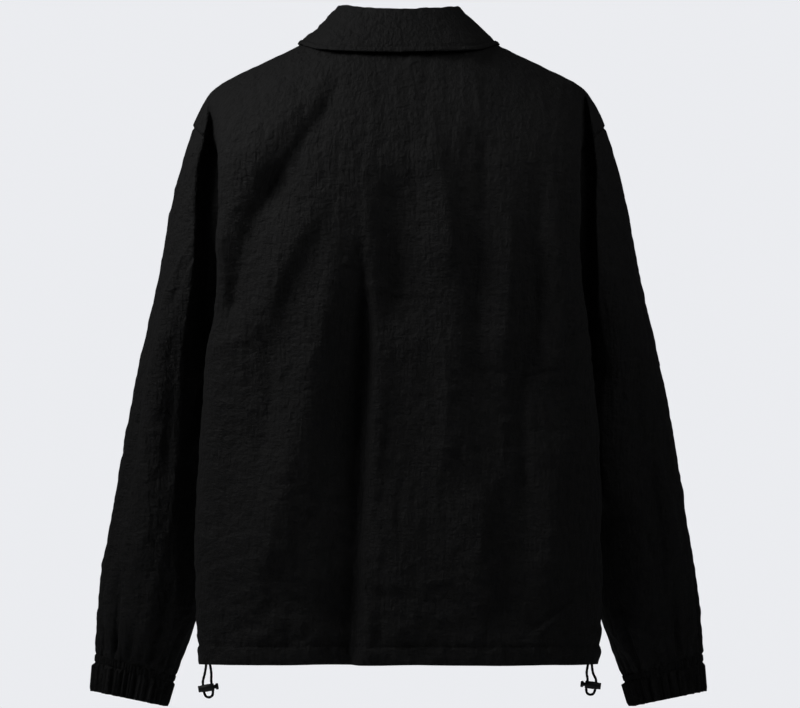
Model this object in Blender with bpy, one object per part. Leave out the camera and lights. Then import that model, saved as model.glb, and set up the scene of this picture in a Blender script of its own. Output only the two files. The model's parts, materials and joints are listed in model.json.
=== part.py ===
"""Collared windbreaker, filled out as it is worn, with no wearer in it.

Metres, +Z up. The front of the jacket faces -Y and the wearer's left is +X. The origin is the middle of
the neck opening, level with the neck ends of the shoulder seams, where the wearer's shoulders hold it up.
Every cloth piece is a wall: a grid of outer points, and the same grid moved in by the cloth's thickness.
"""

import math

import bmesh
import bpy
import numpy as np
from mathutils import Matrix, Vector

# Driving sizes
CLOTH = 0.0015
HEM_CLOTH = 0.0030
COLLAR_CLOTH = 0.0022
CUFF_CLOTH = 0.0024
SEAM_GAP = 0.0003
HEM_HEIGHT = -0.714
HEM_CASING = 0.022
ARMPIT_HEIGHT = -0.318
NECK_HALF_WIDTH = 0.075
NECK_BACK_DEPTH = 0.062
NECK_FRONT_DEPTH = 0.078
NECK_SIDE_HEIGHT = -0.0035
NECK_BACK_HEIGHT = -0.020
NECK_FRONT_HEIGHT = -0.082
FOLD_TOP_HALF_WIDTH = 0.205
SHOULDER_TIP_HALF_WIDTH = 0.231
CROWN_HEIGHT = 0.112
TIP_CROWN_HEIGHT = 0.053
FRONT_LAP = 0.015
STUD_COUNT = 5
STUD_TOP_HEIGHT = -0.112
STUD_BOTTOM_HEIGHT = -0.640
STUD_RADIUS = 0.0072
STUD_RISE = 0.0024
STUD_TOP_SHARE = 0.72
CUFF_GATHERS = 26
CUFF_GATHER_RISE = 0.0016
SLEEVE_GATHERS = 11
SLEEVE_GATHER_RISE = 0.0030
SLEEVE_GATHER_LENGTH = 0.075
CORD_RADIUS = 0.0012

# How the surfaces round off: 2 is an ellipse and more is squarer
BACK_SQUARENESS = 2.7
FRONT_SQUARENESS = 2.15
BACK_CROWN_ROUNDNESS = 2.0
FRONT_CROWN_ROUNDNESS = 1.6
# The share of a front, from its middle, past which it is drawn in to the armhole
ARMHOLE_DRAW = 0.55
# The right front lies this far behind the left one, from one half width in to another
UNDERLAP_DEPTH = HEM_CLOTH + 0.0006
UNDERLAP_START = 0.085
UNDERLAP_FULL = 0.042
# The way the sleeve's cloth leaves the armhole, outwards and up, at the underarm and at the shoulder tip
HEAD_AT_UNDERARM = (0.87, -0.45)
HEAD_AT_TIP = (0.34, -0.94)
HEAD_TO_SIDES = 0.16
# The share of the tube over which the head's cloth turns to follow it
HEAD_TURN = 0.04
# Which way round a grid runs: 1 where its columns and rows turn out of the garment, or -1
BACK_FACING = -1
FRONT_FACING = 1
SLEEVE_FACING = -1

# How finely each wall is divided
NECK_STEPS = 4
SHOULDER_STEPS = 7
RETURN_STEPS = 4
LAP_STEPS = 2
LOWER_STEPS = 10
UPPER_STEPS = 11
HEAD_STEPS = 7
TUBE_STEPS = 12
COLLAR_STEPS = 16
CUFF_POINTS_PER_GATHER = 3
STUD_SEGMENTS = 16
LOCK_SEGMENTS = 24
BORE_SEGMENTS = 16
HOLE_SEGMENTS = 12
CORD_STEPS = 44
CURVE_SAMPLES = 120
# Steps from a seam over which the folds come up to their full rise
SEAM_FADE_STEPS = 4
HEAD_FADE_STEPS = 5
CUFF_FADE_STEPS = 3
# The height over which the doubled hem thins to one layer of cloth
HEM_STEP = 0.001
SHARP_ANGLE = math.radians(50)
ARMPIT_ROW = 2 + LOWER_STEPS

# Body sections, one row for each height. The back is widest at a fold, the edge, from which the cloth
# returns forwards to the side seam, or above the armpit to the back of the armhole. Above the armpit the
# seam columns are the fronts' own smooth section, which is then drawn in to the armhole.
BODY_COLUMNS = ("height", "back_depth", "edge_width", "edge_depth", "seam_width", "seam_depth",
                "front_depth")
BODY_SECTIONS = (
    (-0.714, 0.117, 0.2250, 0.040, 0.2225, 0.000, -0.122),
    (-0.600, 0.121, 0.2285, 0.042, 0.2250, 0.000, -0.123),
    (-0.500, 0.119, 0.2265, 0.046, 0.2220, -0.002, -0.121),
    (-0.406, 0.119, 0.2195, 0.053, 0.2150, -0.004, -0.121),
    (-0.361, 0.121, 0.2150, 0.061, 0.2100, -0.005, -0.123),
    (-0.318, 0.123, 0.2085, 0.070, 0.2040, -0.006, -0.126),
    (-0.250, 0.126, 0.2030, 0.083, 0.1965, -0.042, -0.128),
    (-0.190, 0.127, 0.2025, 0.084, 0.1925, -0.058, -0.128),
    (-0.150, 0.124, 0.2025, 0.079, 0.1965, -0.058, -0.125),
    (-0.068, 0.112, 0.2025, 0.068, 0.2030, -0.054, -0.112),
)

# The armhole, one row for each height: how far back and forward of its middle the two seams run.
ARMHOLE_COLUMNS = ("height", "back_width", "back_depth", "front_width", "front_depth")
ARMHOLE_SECTIONS = (
    (-0.318, 0.2040, -0.006, 0.2040, -0.006),
    (-0.310, 0.2010, 0.013, 0.2020, -0.024),
    (-0.290, 0.1970, 0.028, 0.1990, -0.040),
    (-0.250, 0.1920, 0.042, 0.1945, -0.057),
    (-0.190, 0.1890, 0.052, 0.1910, -0.067),
    (-0.150, 0.1920, 0.050, 0.1960, -0.064),
    (-0.112, 0.2000, 0.046, 0.2030, -0.058),
)

# The ridge of the shoulder, from the neck to the top of the armhole.
SHOULDER_COLUMNS = ("half_width", "height")
SHOULDER_LINE = (
    (0.0750, -0.0035),
    (0.1160, -0.0235),
    (0.1600, -0.0440),
    (0.1850, -0.0558),
    (0.2050, -0.0680),
    (0.2150, -0.0800),
    (0.2240, -0.0960),
    (0.2310, -0.1120),
)

# Sleeve sections, from the top of the arm to the cuff seam: the outer and inner ends of each ring.
SLEEVE_COLUMNS = ("outer_width", "outer_height", "inner_width", "inner_height", "depth", "half_depth")
SLEEVE_SECTIONS = (
    (0.2755, -0.3000, 0.2110, -0.3520, -0.042, 0.063),
    (0.2920, -0.3770, 0.2110, -0.4030, -0.053, 0.060),
    (0.3060, -0.4490, 0.2120, -0.4640, -0.064, 0.057),
    (0.3185, -0.5210, 0.2150, -0.5280, -0.071, 0.054),
    (0.3310, -0.5920, 0.2200, -0.5990, -0.077, 0.051),
    (0.3400, -0.6500, 0.2270, -0.6580, -0.081, 0.047),
    (0.3430, -0.6830, 0.2390, -0.6950, -0.084, 0.041),
    (0.3415, -0.7030, 0.2515, -0.7270, -0.086, 0.031),
)
CUFF_TOP = (0.3415, -0.7030, 0.2515, -0.7270, -0.086, 0.029)
CUFF_BOTTOM = (0.3450, -0.7450, 0.2620, -0.7620, -0.089, 0.027)
# Rows of a cuff's outside: the share of the way down, and how full its gathers are there.
CUFF_ROWS = ((0.0, 0.35), (0.10, 0.75), (0.45, 1.0), (0.88, 0.9), (1.0, 0.6))

# Collar sections from the middle of the back to the front edge: the roll at the top and the free edge.
COLLAR_COLUMNS = ("around", "roll_x", "roll_y", "roll_z", "edge_x", "edge_y", "edge_z")
COLLAR_SECTIONS = (
    (0.00, 0.0000, 0.0660, 0.0195, 0.0000, 0.0940, -0.0280),
    (0.17, 0.0370, 0.0570, 0.0215, 0.0560, 0.0865, -0.0270),
    (0.33, 0.0600, 0.0350, 0.0240, 0.0910, 0.0640, -0.0245),
    (0.50, 0.0680, 0.0020, 0.0215, 0.1125, 0.0040, -0.0185),
    (0.65, 0.0620, -0.0340, 0.0090, 0.1050, -0.0460, -0.0265),
    (0.80, 0.0490, -0.0650, -0.0160, 0.0890, -0.0860, -0.0500),
    (0.91, 0.0310, -0.0810, -0.0400, 0.0680, -0.1030, -0.0830),
    (1.00, 0.0120, -0.0880, -0.0560, 0.0470, -0.1150, -0.1170),
)
COLLAR_END = 0.985
COLLAR_ROLL = 0.0035
COLLAR_STAND_BULGE = 0.0012

# The largest folds, one row each: from one point to another, as half width and rise of a soft ridge.
# A negative rise is a trough. On the body the points are (x, height), with +X the wearer's left.
FOLD_COLUMNS = ("from_x", "from_z", "to_x", "to_z", "half_width", "rise")
BACK_FOLDS = (
    (0.085, -0.075, 0.190, -0.215, 0.020, -0.0060),
    (0.120, -0.075, 0.195, -0.170, 0.024, 0.0040),
    (0.075, -0.215, 0.175, -0.360, 0.018, 0.0045),
    (0.110, -0.225, 0.200, -0.330, 0.015, -0.0040),
    (0.010, -0.200, 0.050, -0.690, 0.026, -0.0080),
    (0.055, -0.240, 0.150, -0.640, 0.024, 0.0060),
    (-0.005, -0.330, 0.020, -0.680, 0.020, 0.0045),
    (-0.045, -0.240, -0.050, -0.620, 0.018, -0.0035),
    (-0.100, -0.220, -0.095, -0.640, 0.020, 0.0035),
    (-0.145, -0.200, -0.140, -0.660, 0.014, -0.0035),
    (-0.195, -0.300, -0.110, -0.420, 0.016, -0.0035),
)
# How bluntly a fold dies away at its two ends
FOLD_BLUNTNESS = 0.6
FRONT_FOLDS = (
    (0.100, -0.080, 0.185, -0.220, 0.022, -0.0045),
    (0.090, -0.260, 0.110, -0.680, 0.024, 0.0050),
    (0.150, -0.300, 0.160, -0.660, 0.020, -0.0045),
    (0.195, -0.330, 0.120, -0.450, 0.016, -0.0035),
)
# On the sleeve the points are (share of the way round from the underarm, share of the way down).
SLEEVE_FOLDS = (
    (0.80, 0.30, 0.66, 0.85, 0.050, -0.0045),
    (0.62, 0.22, 0.56, 0.90, 0.045, 0.0040),
    (0.30, 0.30, 0.38, 0.85, 0.050, -0.0045),
    (0.18, 0.35, 0.22, 0.80, 0.045, 0.0035),
    (0.93, 0.42, 0.80, 0.52, 0.045, -0.0035),
)

# The cord lock lies along its own X axis: a barrel with a bore, and a spring plunger in it.
LOCK_COLUMNS = ("x", "y", "z", "tilt_degrees")
LOCKS = {"left": (0.2138, 0.012, -0.7400, 9.0), "right": (-0.2150, 0.012, -0.7370, 7.0)}
# Both are turned shapes, a row for each step along the axis: (place, radius).
BARREL_TURNING = (
    (-0.0115, 0.0033),
    (-0.0111, 0.0037),
    (-0.0083, 0.0037),
    (-0.0076, 0.0040),
    (-0.0020, 0.0043),
    (0.0050, 0.0041),
    (0.0062, 0.0040),
    (0.0065, 0.0037),
)
PLUNGER_TURNING = (
    (-0.0083, 0.0026),
    (0.0085, 0.0026),
    (0.0085, 0.0036),
    (0.0107, 0.0036),
    (0.0115, 0.0028),
)
BORE_RADIUS = 0.0029
BORE_BACK = -0.0104
BORE_FRONT = 0.0085
PLUNGER_TRAVEL = 0.0018
CORD_HOLE_RADIUS = 0.0016
CORD_HOLES = (-0.0053, 0.0043)
SLOT_WIDTH = 0.0031
CUTTER_DEPTH = 0.02

# The hem cord's route, by hand: out of the casing, down through the lock, round under it and back.
# Rows before and after the loop are world points on the wearer's left; the loop is in the lock's frame.
CORD_DOWN = (
    (0.2188, 0.0060, -0.7000),
    (0.2172, 0.0061, -0.7020),
    (0.2162, 0.0066, -0.7065),
    (0.2164, 0.0080, -0.7150),
    (0.2178, 0.0105, -0.7240),
)
CORD_LOOP = (
    (-0.0053, 0.0, 0.0060),
    (-0.0053, 0.0, 0.0000),
    (-0.0053, 0.0, -0.0058),
    (-0.0039, 0.0, -0.0094),
    (-0.0005, 0.0, -0.0108),
    (0.0029, 0.0, -0.0094),
    (0.0043, 0.0, -0.0058),
    (0.0043, 0.0, 0.0000),
    (0.0043, 0.0, 0.0060),
)
CORD_UP = (
    (0.2105, 0.0140, -0.7240),
    (0.2117, 0.0160, -0.7150),
    (0.2132, 0.0180, -0.7075),
    (0.2155, 0.0190, -0.7030),
    (0.2186, 0.0195, -0.7000),
)

BLACK_CLOTH = ("windbreaker_cloth", (0.012, 0.012, 0.013), 0.62, 0.0)
BLACK_RIB = ("elastic_casing", (0.011, 0.011, 0.012), 0.68, 0.0)
BLACK_CORD = ("elastic_cord", (0.010, 0.010, 0.010), 0.75, 0.0)
BLACK_PLASTIC = ("lock_plastic", (0.014, 0.014, 0.015), 0.38, 0.0)
BLACK_METAL = ("stud_lacquer", (0.020, 0.020, 0.021), 0.35, 0.6)


def clear_scene():
    for obj in list(bpy.data.objects):
        bpy.data.objects.remove(obj)


def material(look):
    name, colour, roughness, metallic = look
    made = bpy.data.materials.get(name)
    if made is None:
        made = bpy.data.materials.new(name)
        made.use_nodes = True
        shader = made.node_tree.nodes["Principled BSDF"]
        shader.inputs["Base Color"].default_value = (*colour, 1.0)
        shader.inputs["Roughness"].default_value = roughness
        shader.inputs["Metallic"].default_value = metallic
    return made


def add_object(name, mesh, look):
    mesh.materials.append(material(look))
    obj = bpy.data.objects.new(name, mesh)
    bpy.context.scene.collection.objects.link(obj)
    return obj


def named(columns, rows):
    """A table as arrays by column name."""
    return dict(zip(columns, np.array(rows, float).T))


def smooth(at, knots, values):
    """A smooth curve through the knots, which may run either way, held level outside them."""
    order = np.argsort(knots)
    knots, values = np.asarray(knots)[order], np.asarray(values)[order]
    slopes = np.gradient(values, knots)
    at = np.clip(at, knots[0], knots[-1])
    i = np.clip(np.searchsorted(knots, at, side="right") - 1, 0, len(knots) - 2)
    width = knots[i + 1] - knots[i]
    t = (at - knots[i]) / width
    start = values[i] + t * t * (3 - 2 * t) * (values[i + 1] - values[i])
    return start + width * t * (1 - t) * ((1 - t) * slopes[i] - t * slopes[i + 1])


def reader(columns, rows):
    """A function that gives every column of a table, smoothed, at one value of the first column."""
    table = named(columns, rows)
    knots = table[columns[0]]
    return lambda at: {name: float(smooth(at, knots, table[name])) for name in columns[1:]}


body_at = reader(BODY_COLUMNS, BODY_SECTIONS)
armhole_at = reader(ARMHOLE_COLUMNS, ARMHOLE_SECTIONS)
collar_at = reader(COLLAR_COLUMNS, COLLAR_SECTIONS)


def shoulder_height(half_width):
    line = named(SHOULDER_COLUMNS, SHOULDER_LINE)
    return float(smooth(half_width, line["half_width"], line["height"]))


def neck_point(half_width, front):
    """A point of the neck seam on the wearer's left, on the back or the front of the neck."""
    drop = math.sqrt(max(0.0, 1 - (half_width / NECK_HALF_WIDTH) ** 2))
    depth = -NECK_FRONT_DEPTH if front else NECK_BACK_DEPTH
    low = NECK_FRONT_HEIGHT if front else NECK_BACK_HEIGHT
    return half_width, depth * drop, NECK_SIDE_HEIGHT + (low - NECK_SIDE_HEIGHT) * drop


def top_point(half_width, front):
    """A point of the panel's top edge: the neck seam, then the shoulder seam."""
    if half_width < NECK_HALF_WIDTH:
        return neck_point(half_width, front)
    return half_width, 0.0, shoulder_height(half_width)


def by_length(points, share):
    """The point at a share of the length of a fine polyline."""
    steps = np.linalg.norm(np.diff(points, axis=0), axis=1)
    along = np.concatenate([[0.0], np.cumsum(steps)])
    return [float(np.interp(share * along[-1], along, points[:, axis])) for axis in range(points.shape[1])]


def rounded_quarter(half_width, depth, squareness):
    """A quarter of a superellipse, from the middle of the panel out to its widest point."""
    angle = np.linspace(0, math.pi / 2, CURVE_SAMPLES)
    power = 2 / squareness
    return np.stack([half_width * np.sin(angle) ** power, depth * np.cos(angle) ** power], axis=1)


def seam_at(height, front):
    """Where the panel ends at this height: the side seam, or above the armpit the armhole seam."""
    if height <= ARMPIT_HEIGHT:
        body = body_at(height)
        return body["seam_width"], body["seam_depth"]
    hole = armhole_at(height)
    side = "front" if front else "back"
    return hole[side + "_width"], hole[side + "_depth"]


def back_section(height, share, returned):
    """A point of the back: share of the way to its edge, then share of the way along the return."""
    body = body_at(height)
    width, depth = body["edge_width"], body["edge_depth"]
    if returned == 0:
        arc = rounded_quarter(width, body["back_depth"] - depth, BACK_SQUARENESS)
        x, y = by_length(arc, share)
        return x, depth + y
    seam_width, seam_depth = seam_at(height, front=False)
    return width + (seam_width - width) * returned**2, depth + (seam_depth - depth) * returned


def front_section(height, share):
    """A point of a front: share of the way from its middle to its seam, drawn in to the armhole."""
    body = body_at(height)
    width, depth = body["seam_width"], body["seam_depth"]
    arc = rounded_quarter(width, body["front_depth"] - depth, FRONT_SQUARENESS)
    x, y = by_length(arc, share)
    seam_width, seam_depth = seam_at(height, front=True)
    near = max(0.0, (share - ARMHOLE_DRAW) / (1 - ARMHOLE_DRAW)) ** 2
    return x + near * (seam_width - width), depth + y + near * (seam_depth - depth)


def crowned(section, top, height, crown, roundness):
    """A section point, carried over to the top edge in the crown just below it."""
    x, y = section
    start = top[2] - crown
    over = min(1.0, max(0.0, (height - start) / crown))
    reach = (1 - over**roundness) ** (1 / roundness)
    return x + (top[0] - x) * over**2, top[1] + (y - top[1]) * reach, height


def row_heights(top):
    """The heights of a column's points, from the hem up to its top, close together at seams and crown."""
    casing_top = HEM_HEIGHT + HEM_CASING
    single = casing_top + HEM_STEP
    lower = [HEM_HEIGHT, casing_top, single]
    for step in range(1, LOWER_STEPS + 1):
        lower.append(single + (ARMPIT_HEIGHT - single) * step / LOWER_STEPS)
    upper = []
    for step in range(1, UPPER_STEPS + 1):
        rise = 0.5 - 0.5 * math.cos(math.pi * step / UPPER_STEPS)
        upper.append(ARMPIT_HEIGHT + (top - ARMPIT_HEIGHT) * rise)
    return lower + upper


def top_widths():
    """The half widths at which columns meet the top edge, from the middle to the shoulder tip."""
    neck = NECK_HALF_WIDTH * np.sin(np.linspace(0, math.pi / 2, NECK_STEPS + 1))
    shoulder = np.linspace(NECK_HALF_WIDTH, FOLD_TOP_HALF_WIDTH, SHOULDER_STEPS + 1)[1:]
    returned = np.linspace(FOLD_TOP_HALF_WIDTH, SHOULDER_TIP_HALF_WIDTH, RETURN_STEPS + 1)[1:]
    return np.concatenate([neck, shoulder, returned])


def crown_of(half_width):
    """The crown is lower past the fold, where the armhole seam runs over the shoulder."""
    past = max(0.0, half_width - FOLD_TOP_HALF_WIDTH) / (SHOULDER_TIP_HALF_WIDTH - FOLD_TOP_HALF_WIDTH)
    return CROWN_HEIGHT + (TIP_CROWN_HEIGHT - CROWN_HEIGHT) * past


def panel_column(half_width, front):
    """One column of a body panel on the wearer's left, from the hem to the top edge."""
    top = top_point(half_width, front)
    crown = crown_of(half_width)
    roundness = FRONT_CROWN_ROUNDNESS if front else BACK_CROWN_ROUNDNESS
    points = []
    for height in row_heights(top[2]):
        if front:
            section = front_section(height, half_width / SHOULDER_TIP_HALF_WIDTH)
        else:
            past = max(0.0, half_width - FOLD_TOP_HALF_WIDTH)
            returned = past / (SHOULDER_TIP_HALF_WIDTH - FOLD_TOP_HALF_WIDTH)
            section = back_section(height, min(1.0, half_width / FOLD_TOP_HALF_WIDTH), returned)
        points.append(crowned(section, top, height, crown, roundness))
    return points


def half_panel(front):
    """A panel's left half as a grid of rows from the hem up and columns from the middle out."""
    columns = [panel_column(width, front) for width in top_widths()]
    return np.array(columns).transpose(1, 0, 2)


def mirrored(grid):
    """The same grid on the wearer's right, with its columns in the opposite order."""
    return grid[:, ::-1] * np.array([-1.0, 1.0, 1.0])


def normals_of(grid, facing):
    """Unit normals of a grid. facing is 1 or -1, whichever points them out of the garment."""
    across = np.gradient(grid, axis=1)
    along = np.gradient(grid, axis=0)
    normal = np.cross(across, along) * facing
    return normal / np.maximum(np.linalg.norm(normal, axis=2, keepdims=True), 1e-12)


def fold_rise(first, second, folds):
    """The rise of all folds at points given by two coordinates, tapering to nothing at their ends."""
    total = np.zeros_like(first)
    for row in folds:
        fold = dict(zip(FOLD_COLUMNS, row))
        run = np.array([fold["to_x"] - fold["from_x"], fold["to_z"] - fold["from_z"]])
        away = np.stack([first - fold["from_x"], second - fold["from_z"]], axis=-1)
        share = np.clip((away @ run) / (run @ run), 0, 1)
        distance = np.linalg.norm(away - share[..., None] * run, axis=-1)
        taper = np.abs(np.sin(math.pi * share)) ** FOLD_BLUNTNESS
        total += fold["rise"] * taper * np.exp(-((distance / fold["half_width"]) ** 2))
    return total


def seam_fade(rows, columns, sides):
    """1 inside a panel, fading to 0 at its top edge and at the side seams that it has to meet."""
    fade = np.ones((rows, columns))
    fade *= np.minimum(1, np.arange(rows)[::-1] / SEAM_FADE_STEPS)[:, None]
    for edge in sides:
        distance = np.arange(columns) if edge == 0 else np.arange(columns)[::-1]
        fade *= np.minimum(1, distance / SEAM_FADE_STEPS)[None, :]
    return fade


def folded(grid, facing, folds, sides):
    """A body panel with its folds, which leave the seams where they are."""
    rise = fold_rise(grid[..., 0], grid[..., 2], folds)
    rise *= seam_fade(grid.shape[0], grid.shape[1], sides)
    return grid + normals_of(grid, facing) * rise[..., None]


def pulled_back(grid, edge, gap):
    """The grid with one edge moved back along the cloth, to leave room at a seam."""
    moved = grid.copy()
    first, second = {"left": ((slice(None), 0), (slice(None), 1)),
                     "right": ((slice(None), -1), (slice(None), -2)),
                     "bottom": ((0,), (1,)),
                     "top": ((-1,), (-2,))}[edge]
    back = moved[second] - moved[first]
    moved[first] += gap * back / np.linalg.norm(back, axis=-1, keepdims=True)
    return moved


def wall(name, outer, normals, thickness, look, facing):
    """A cloth wall as one closed mesh: the outer grid, the same grid moved in, and the rim between."""
    rows, columns = outer.shape[:2]
    thickness = np.broadcast_to(np.asarray(thickness, float), (rows, columns))
    inner = outer - normals * thickness[..., None]
    points = np.concatenate([outer.reshape(-1, 3), inner.reshape(-1, 3)])
    index = np.arange(rows * columns).reshape(rows, columns)
    inside = index + rows * columns
    faces = []
    for r in range(rows - 1):
        for c in range(columns - 1):
            faces.append((index[r, c], index[r, c + 1], index[r + 1, c + 1], index[r + 1, c]))
            faces.append((inside[r, c], inside[r + 1, c], inside[r + 1, c + 1], inside[r, c + 1]))
    for c in range(columns - 1):
        faces.append((index[0, c + 1], index[0, c], inside[0, c], inside[0, c + 1]))
        faces.append((index[-1, c], index[-1, c + 1], inside[-1, c + 1], inside[-1, c]))
    for r in range(rows - 1):
        faces.append((index[r, 0], index[r + 1, 0], inside[r + 1, 0], inside[r, 0]))
        faces.append((index[r + 1, -1], index[r, -1], inside[r, -1], inside[r + 1, -1]))
    if facing < 0:
        faces = [face[::-1] for face in faces]
    mesh = bpy.data.meshes.new(name)
    mesh.from_pydata(points.tolist(), [], [tuple(int(i) for i in face) for face in faces])
    mesh.shade_smooth()
    mesh.set_sharp_from_angle(angle=SHARP_ANGLE)
    return add_object(name, mesh, look)


def loft(name, rings, look, closed):
    """A closed mesh through rings of points: round on itself, or with both ends filled."""
    mesh = bpy.data.meshes.new(name)
    shape = bmesh.new()
    loops = [[shape.verts.new(point) for point in ring] for ring in rings]
    pairs = list(zip(loops, loops[1:] + loops[:1])) if closed else list(zip(loops, loops[1:]))
    size = len(loops[0])
    for first, second in pairs:
        for i in range(size):
            j = (i + 1) % size
            shape.faces.new((first[i], first[j], second[j], second[i]))
    if not closed:
        shape.faces.new(loops[0][::-1])
        shape.faces.new(loops[-1])
    bmesh.ops.recalc_face_normals(shape, faces=shape.faces)
    shape.to_mesh(mesh)
    shape.free()
    mesh.shade_smooth()
    mesh.set_sharp_from_angle(angle=SHARP_ANGLE)
    return add_object(name, mesh, look)


def average(first, second):
    total = first + second
    return total / np.linalg.norm(total, axis=-1, keepdims=True)


def hem_thickness(rows, columns):
    """The turned-up hem doubles the cloth over the casing."""
    thickness = np.full((rows, columns), CLOTH)
    thickness[:2] = HEM_CLOTH
    return thickness


def lap_columns():
    """The part of a front that runs past the middle, from its free edge to the middle."""
    return np.linspace(FRONT_LAP, 0, LAP_STEPS + 1)[:-1]


def left_front_grid():
    """The left front, from its free edge past the middle out to its seam."""
    half = half_panel(front=True)
    past = [panel_column(width, front=True) for width in lap_columns()]
    past = np.array(past).transpose(1, 0, 2) * np.array([-1.0, 1.0, 1.0])
    return np.concatenate([past, half], axis=1)


def under_lap(grid):
    """The right front, let in behind the left one where they overlap."""
    share = np.clip((UNDERLAP_START + grid[..., 0]) / (UNDERLAP_START - UNDERLAP_FULL), 0, 1)
    depth = UNDERLAP_DEPTH * share * share * (3 - 2 * share)
    return grid - normals_of(grid, FRONT_FACING) * depth[..., None]


def body_grids():
    """The outer grids of the back and both fronts, with their folds."""
    half = half_panel(front=False)
    back = np.concatenate([mirrored(half)[:, :-1], half], axis=1)
    left = left_front_grid()
    right = under_lap(mirrored(left))
    flipped = [(-a, b, -c, d, e, f) for a, b, c, d, e, f in FRONT_FOLDS]
    back = folded(back, BACK_FACING, BACK_FOLDS, sides=(0, -1))
    left = folded(left, FRONT_FACING, FRONT_FOLDS, sides=(-1,))
    right = folded(right, FRONT_FACING, flipped, sides=(0,))
    return back, left, right


def build_body():
    """The back and the two fronts, parted at the side and shoulder seams."""
    back, left, right = body_grids()
    normal_back = normals_of(back, BACK_FACING)
    normal_left = normals_of(left, FRONT_FACING)
    normal_right = normals_of(right, FRONT_FACING)
    sides = slice(0, ARMPIT_ROW + 1)
    shoulder = SHOULDER_STEPS + RETURN_STEPS + 1
    for normal_front, seam, over in (
        (normal_left, -1, slice(-shoulder, None)),
        (normal_right, 0, slice(0, shoulder)),
    ):
        shared = average(normal_back[sides, seam], normal_front[sides, seam])
        normal_back[sides, seam] = shared
        normal_front[sides, seam] = shared
        shared = average(normal_back[-1, over], normal_front[-1, over])
        normal_back[-1, over] = shared
        normal_front[-1, over] = shared
    upright = (0.0, 0.0, 1.0)
    normal_back[-1, shoulder:-shoulder] = upright
    normal_left[-1, :-shoulder] = upright
    normal_right[-1, shoulder:] = upright
    for name, grid, normals, facing in (
        ("back", back, normal_back, BACK_FACING),
        ("front_left", left, normal_left, FRONT_FACING),
        ("front_right", right, normal_right, FRONT_FACING),
    ):
        for edge in ("left", "right", "top"):
            grid = pulled_back(grid, edge, SEAM_GAP)
        wall(name, grid, normals, hem_thickness(*grid.shape[:2]), BLACK_CLOTH, facing)
    return back, left


def ring_point(section, angle):
    """A point of a sleeve ring: angle 0 is outermost, a quarter turn on is at the back."""
    outer_x, outer_z, inner_x, inner_z, depth, half_depth = section
    middle = np.array([(outer_x + inner_x) / 2, depth, (outer_z + inner_z) / 2])
    reach = np.array([(outer_x - inner_x) / 2, 0.0, (outer_z - inner_z) / 2])
    return middle + reach * math.cos(angle) + np.array([0.0, half_depth, 0.0]) * math.sin(angle)


def sleeve_section(share):
    """A ring of the sleeve's tube at a share of the way from its first section to its last."""
    table = named(SLEEVE_COLUMNS, SLEEVE_SECTIONS)
    knots = np.linspace(0, 1, len(SLEEVE_SECTIONS))
    return [float(smooth(share, knots, table[name])) for name in SLEEVE_COLUMNS]


def armhole_loop(back, left):
    """The armhole seam on the wearer's left: from the armpit up the front, and down the back."""
    up_front = left[ARMPIT_ROW:, -1]
    down_back = back[ARMPIT_ROW:, -1][::-1]
    return np.concatenate([up_front, down_back[1:]])


def loop_angles(loop):
    """The ring angle of each armhole point: the armpit is half a turn either way, the tip is 0."""
    steps = np.linalg.norm(np.diff(loop, axis=0), axis=1)
    half = len(loop) // 2
    front = np.concatenate([[0.0], np.cumsum(steps[:half])])
    rear = np.concatenate([[0.0], np.cumsum(steps[half:])])
    return np.concatenate([-math.pi + math.pi * front / front[-1], (math.pi * rear / rear[-1])[1:]])


def head_direction(angle):
    """The way the cloth leaves the armhole seam: down the shoulder's slope, out at front and back."""
    over = (1 + math.cos(angle)) / 2
    out, rise = np.array(HEAD_AT_UNDERARM) * (1 - over) + np.array(HEAD_AT_TIP) * over
    direction = np.array([out, HEAD_TO_SIDES * math.sin(angle), rise])
    return direction / np.linalg.norm(direction)


def hermite(start, start_slope, end, end_slope, share):
    s = share
    return (start * (2 * s**3 - 3 * s**2 + 1) + start_slope * (s**3 - 2 * s**2 + s)
            + end * (-2 * s**3 + 3 * s**2) + end_slope * (s**3 - s**2))


def sleeve_grid(back, left):
    """The left sleeve: rows from the armhole to the cuff, columns round from underarm to underarm."""
    loop = armhole_loop(back, left)
    angles = loop_angles(loop)
    rows = []
    first = sleeve_section(0.0)
    second = sleeve_section(HEAD_TURN)
    for step in range(HEAD_STEPS):
        share = step / HEAD_STEPS
        row = []
        for point, angle in zip(loop, angles):
            end = ring_point(first, angle)
            length = float(np.linalg.norm(end - point))
            leave = head_direction(angle) * length
            arrive = ring_point(second, angle) - end
            arrive = arrive / np.linalg.norm(arrive) * length
            row.append(hermite(point, leave, end, arrive, share))
        rows.append(row)
    for step in range(TUBE_STEPS + 1):
        section = sleeve_section(step / TUBE_STEPS)
        rows.append([ring_point(section, angle) for angle in angles])
    return np.array(rows), angles


def sleeve_rise(grid, angles):
    """Folds and cuff gathers of the sleeve, by share of the way round and down."""
    rows, columns = grid.shape[:2]
    around = np.broadcast_to((angles / math.tau + 0.5)[None, :], (rows, columns))
    down = np.broadcast_to((np.arange(rows) / (rows - 1))[:, None], (rows, columns))
    rise = fold_rise(around, down, SLEEVE_FOLDS)
    rise *= np.minimum(1, np.arange(rows) / HEAD_FADE_STEPS)[:, None]
    rise *= np.minimum(1, np.arange(rows)[::-1] / CUFF_FADE_STEPS)[:, None]
    lowest = grid[-1].mean(axis=0)
    to_cuff = np.linalg.norm(grid.mean(axis=1) - lowest, axis=1)
    gather = np.clip(1 - to_cuff / SLEEVE_GATHER_LENGTH, 0, 1)[:, None]
    wave = np.cos(SLEEVE_GATHERS * math.tau * np.linspace(0, 1, columns))[None, :]
    return rise + SLEEVE_GATHER_RISE * gather * wave


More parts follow.
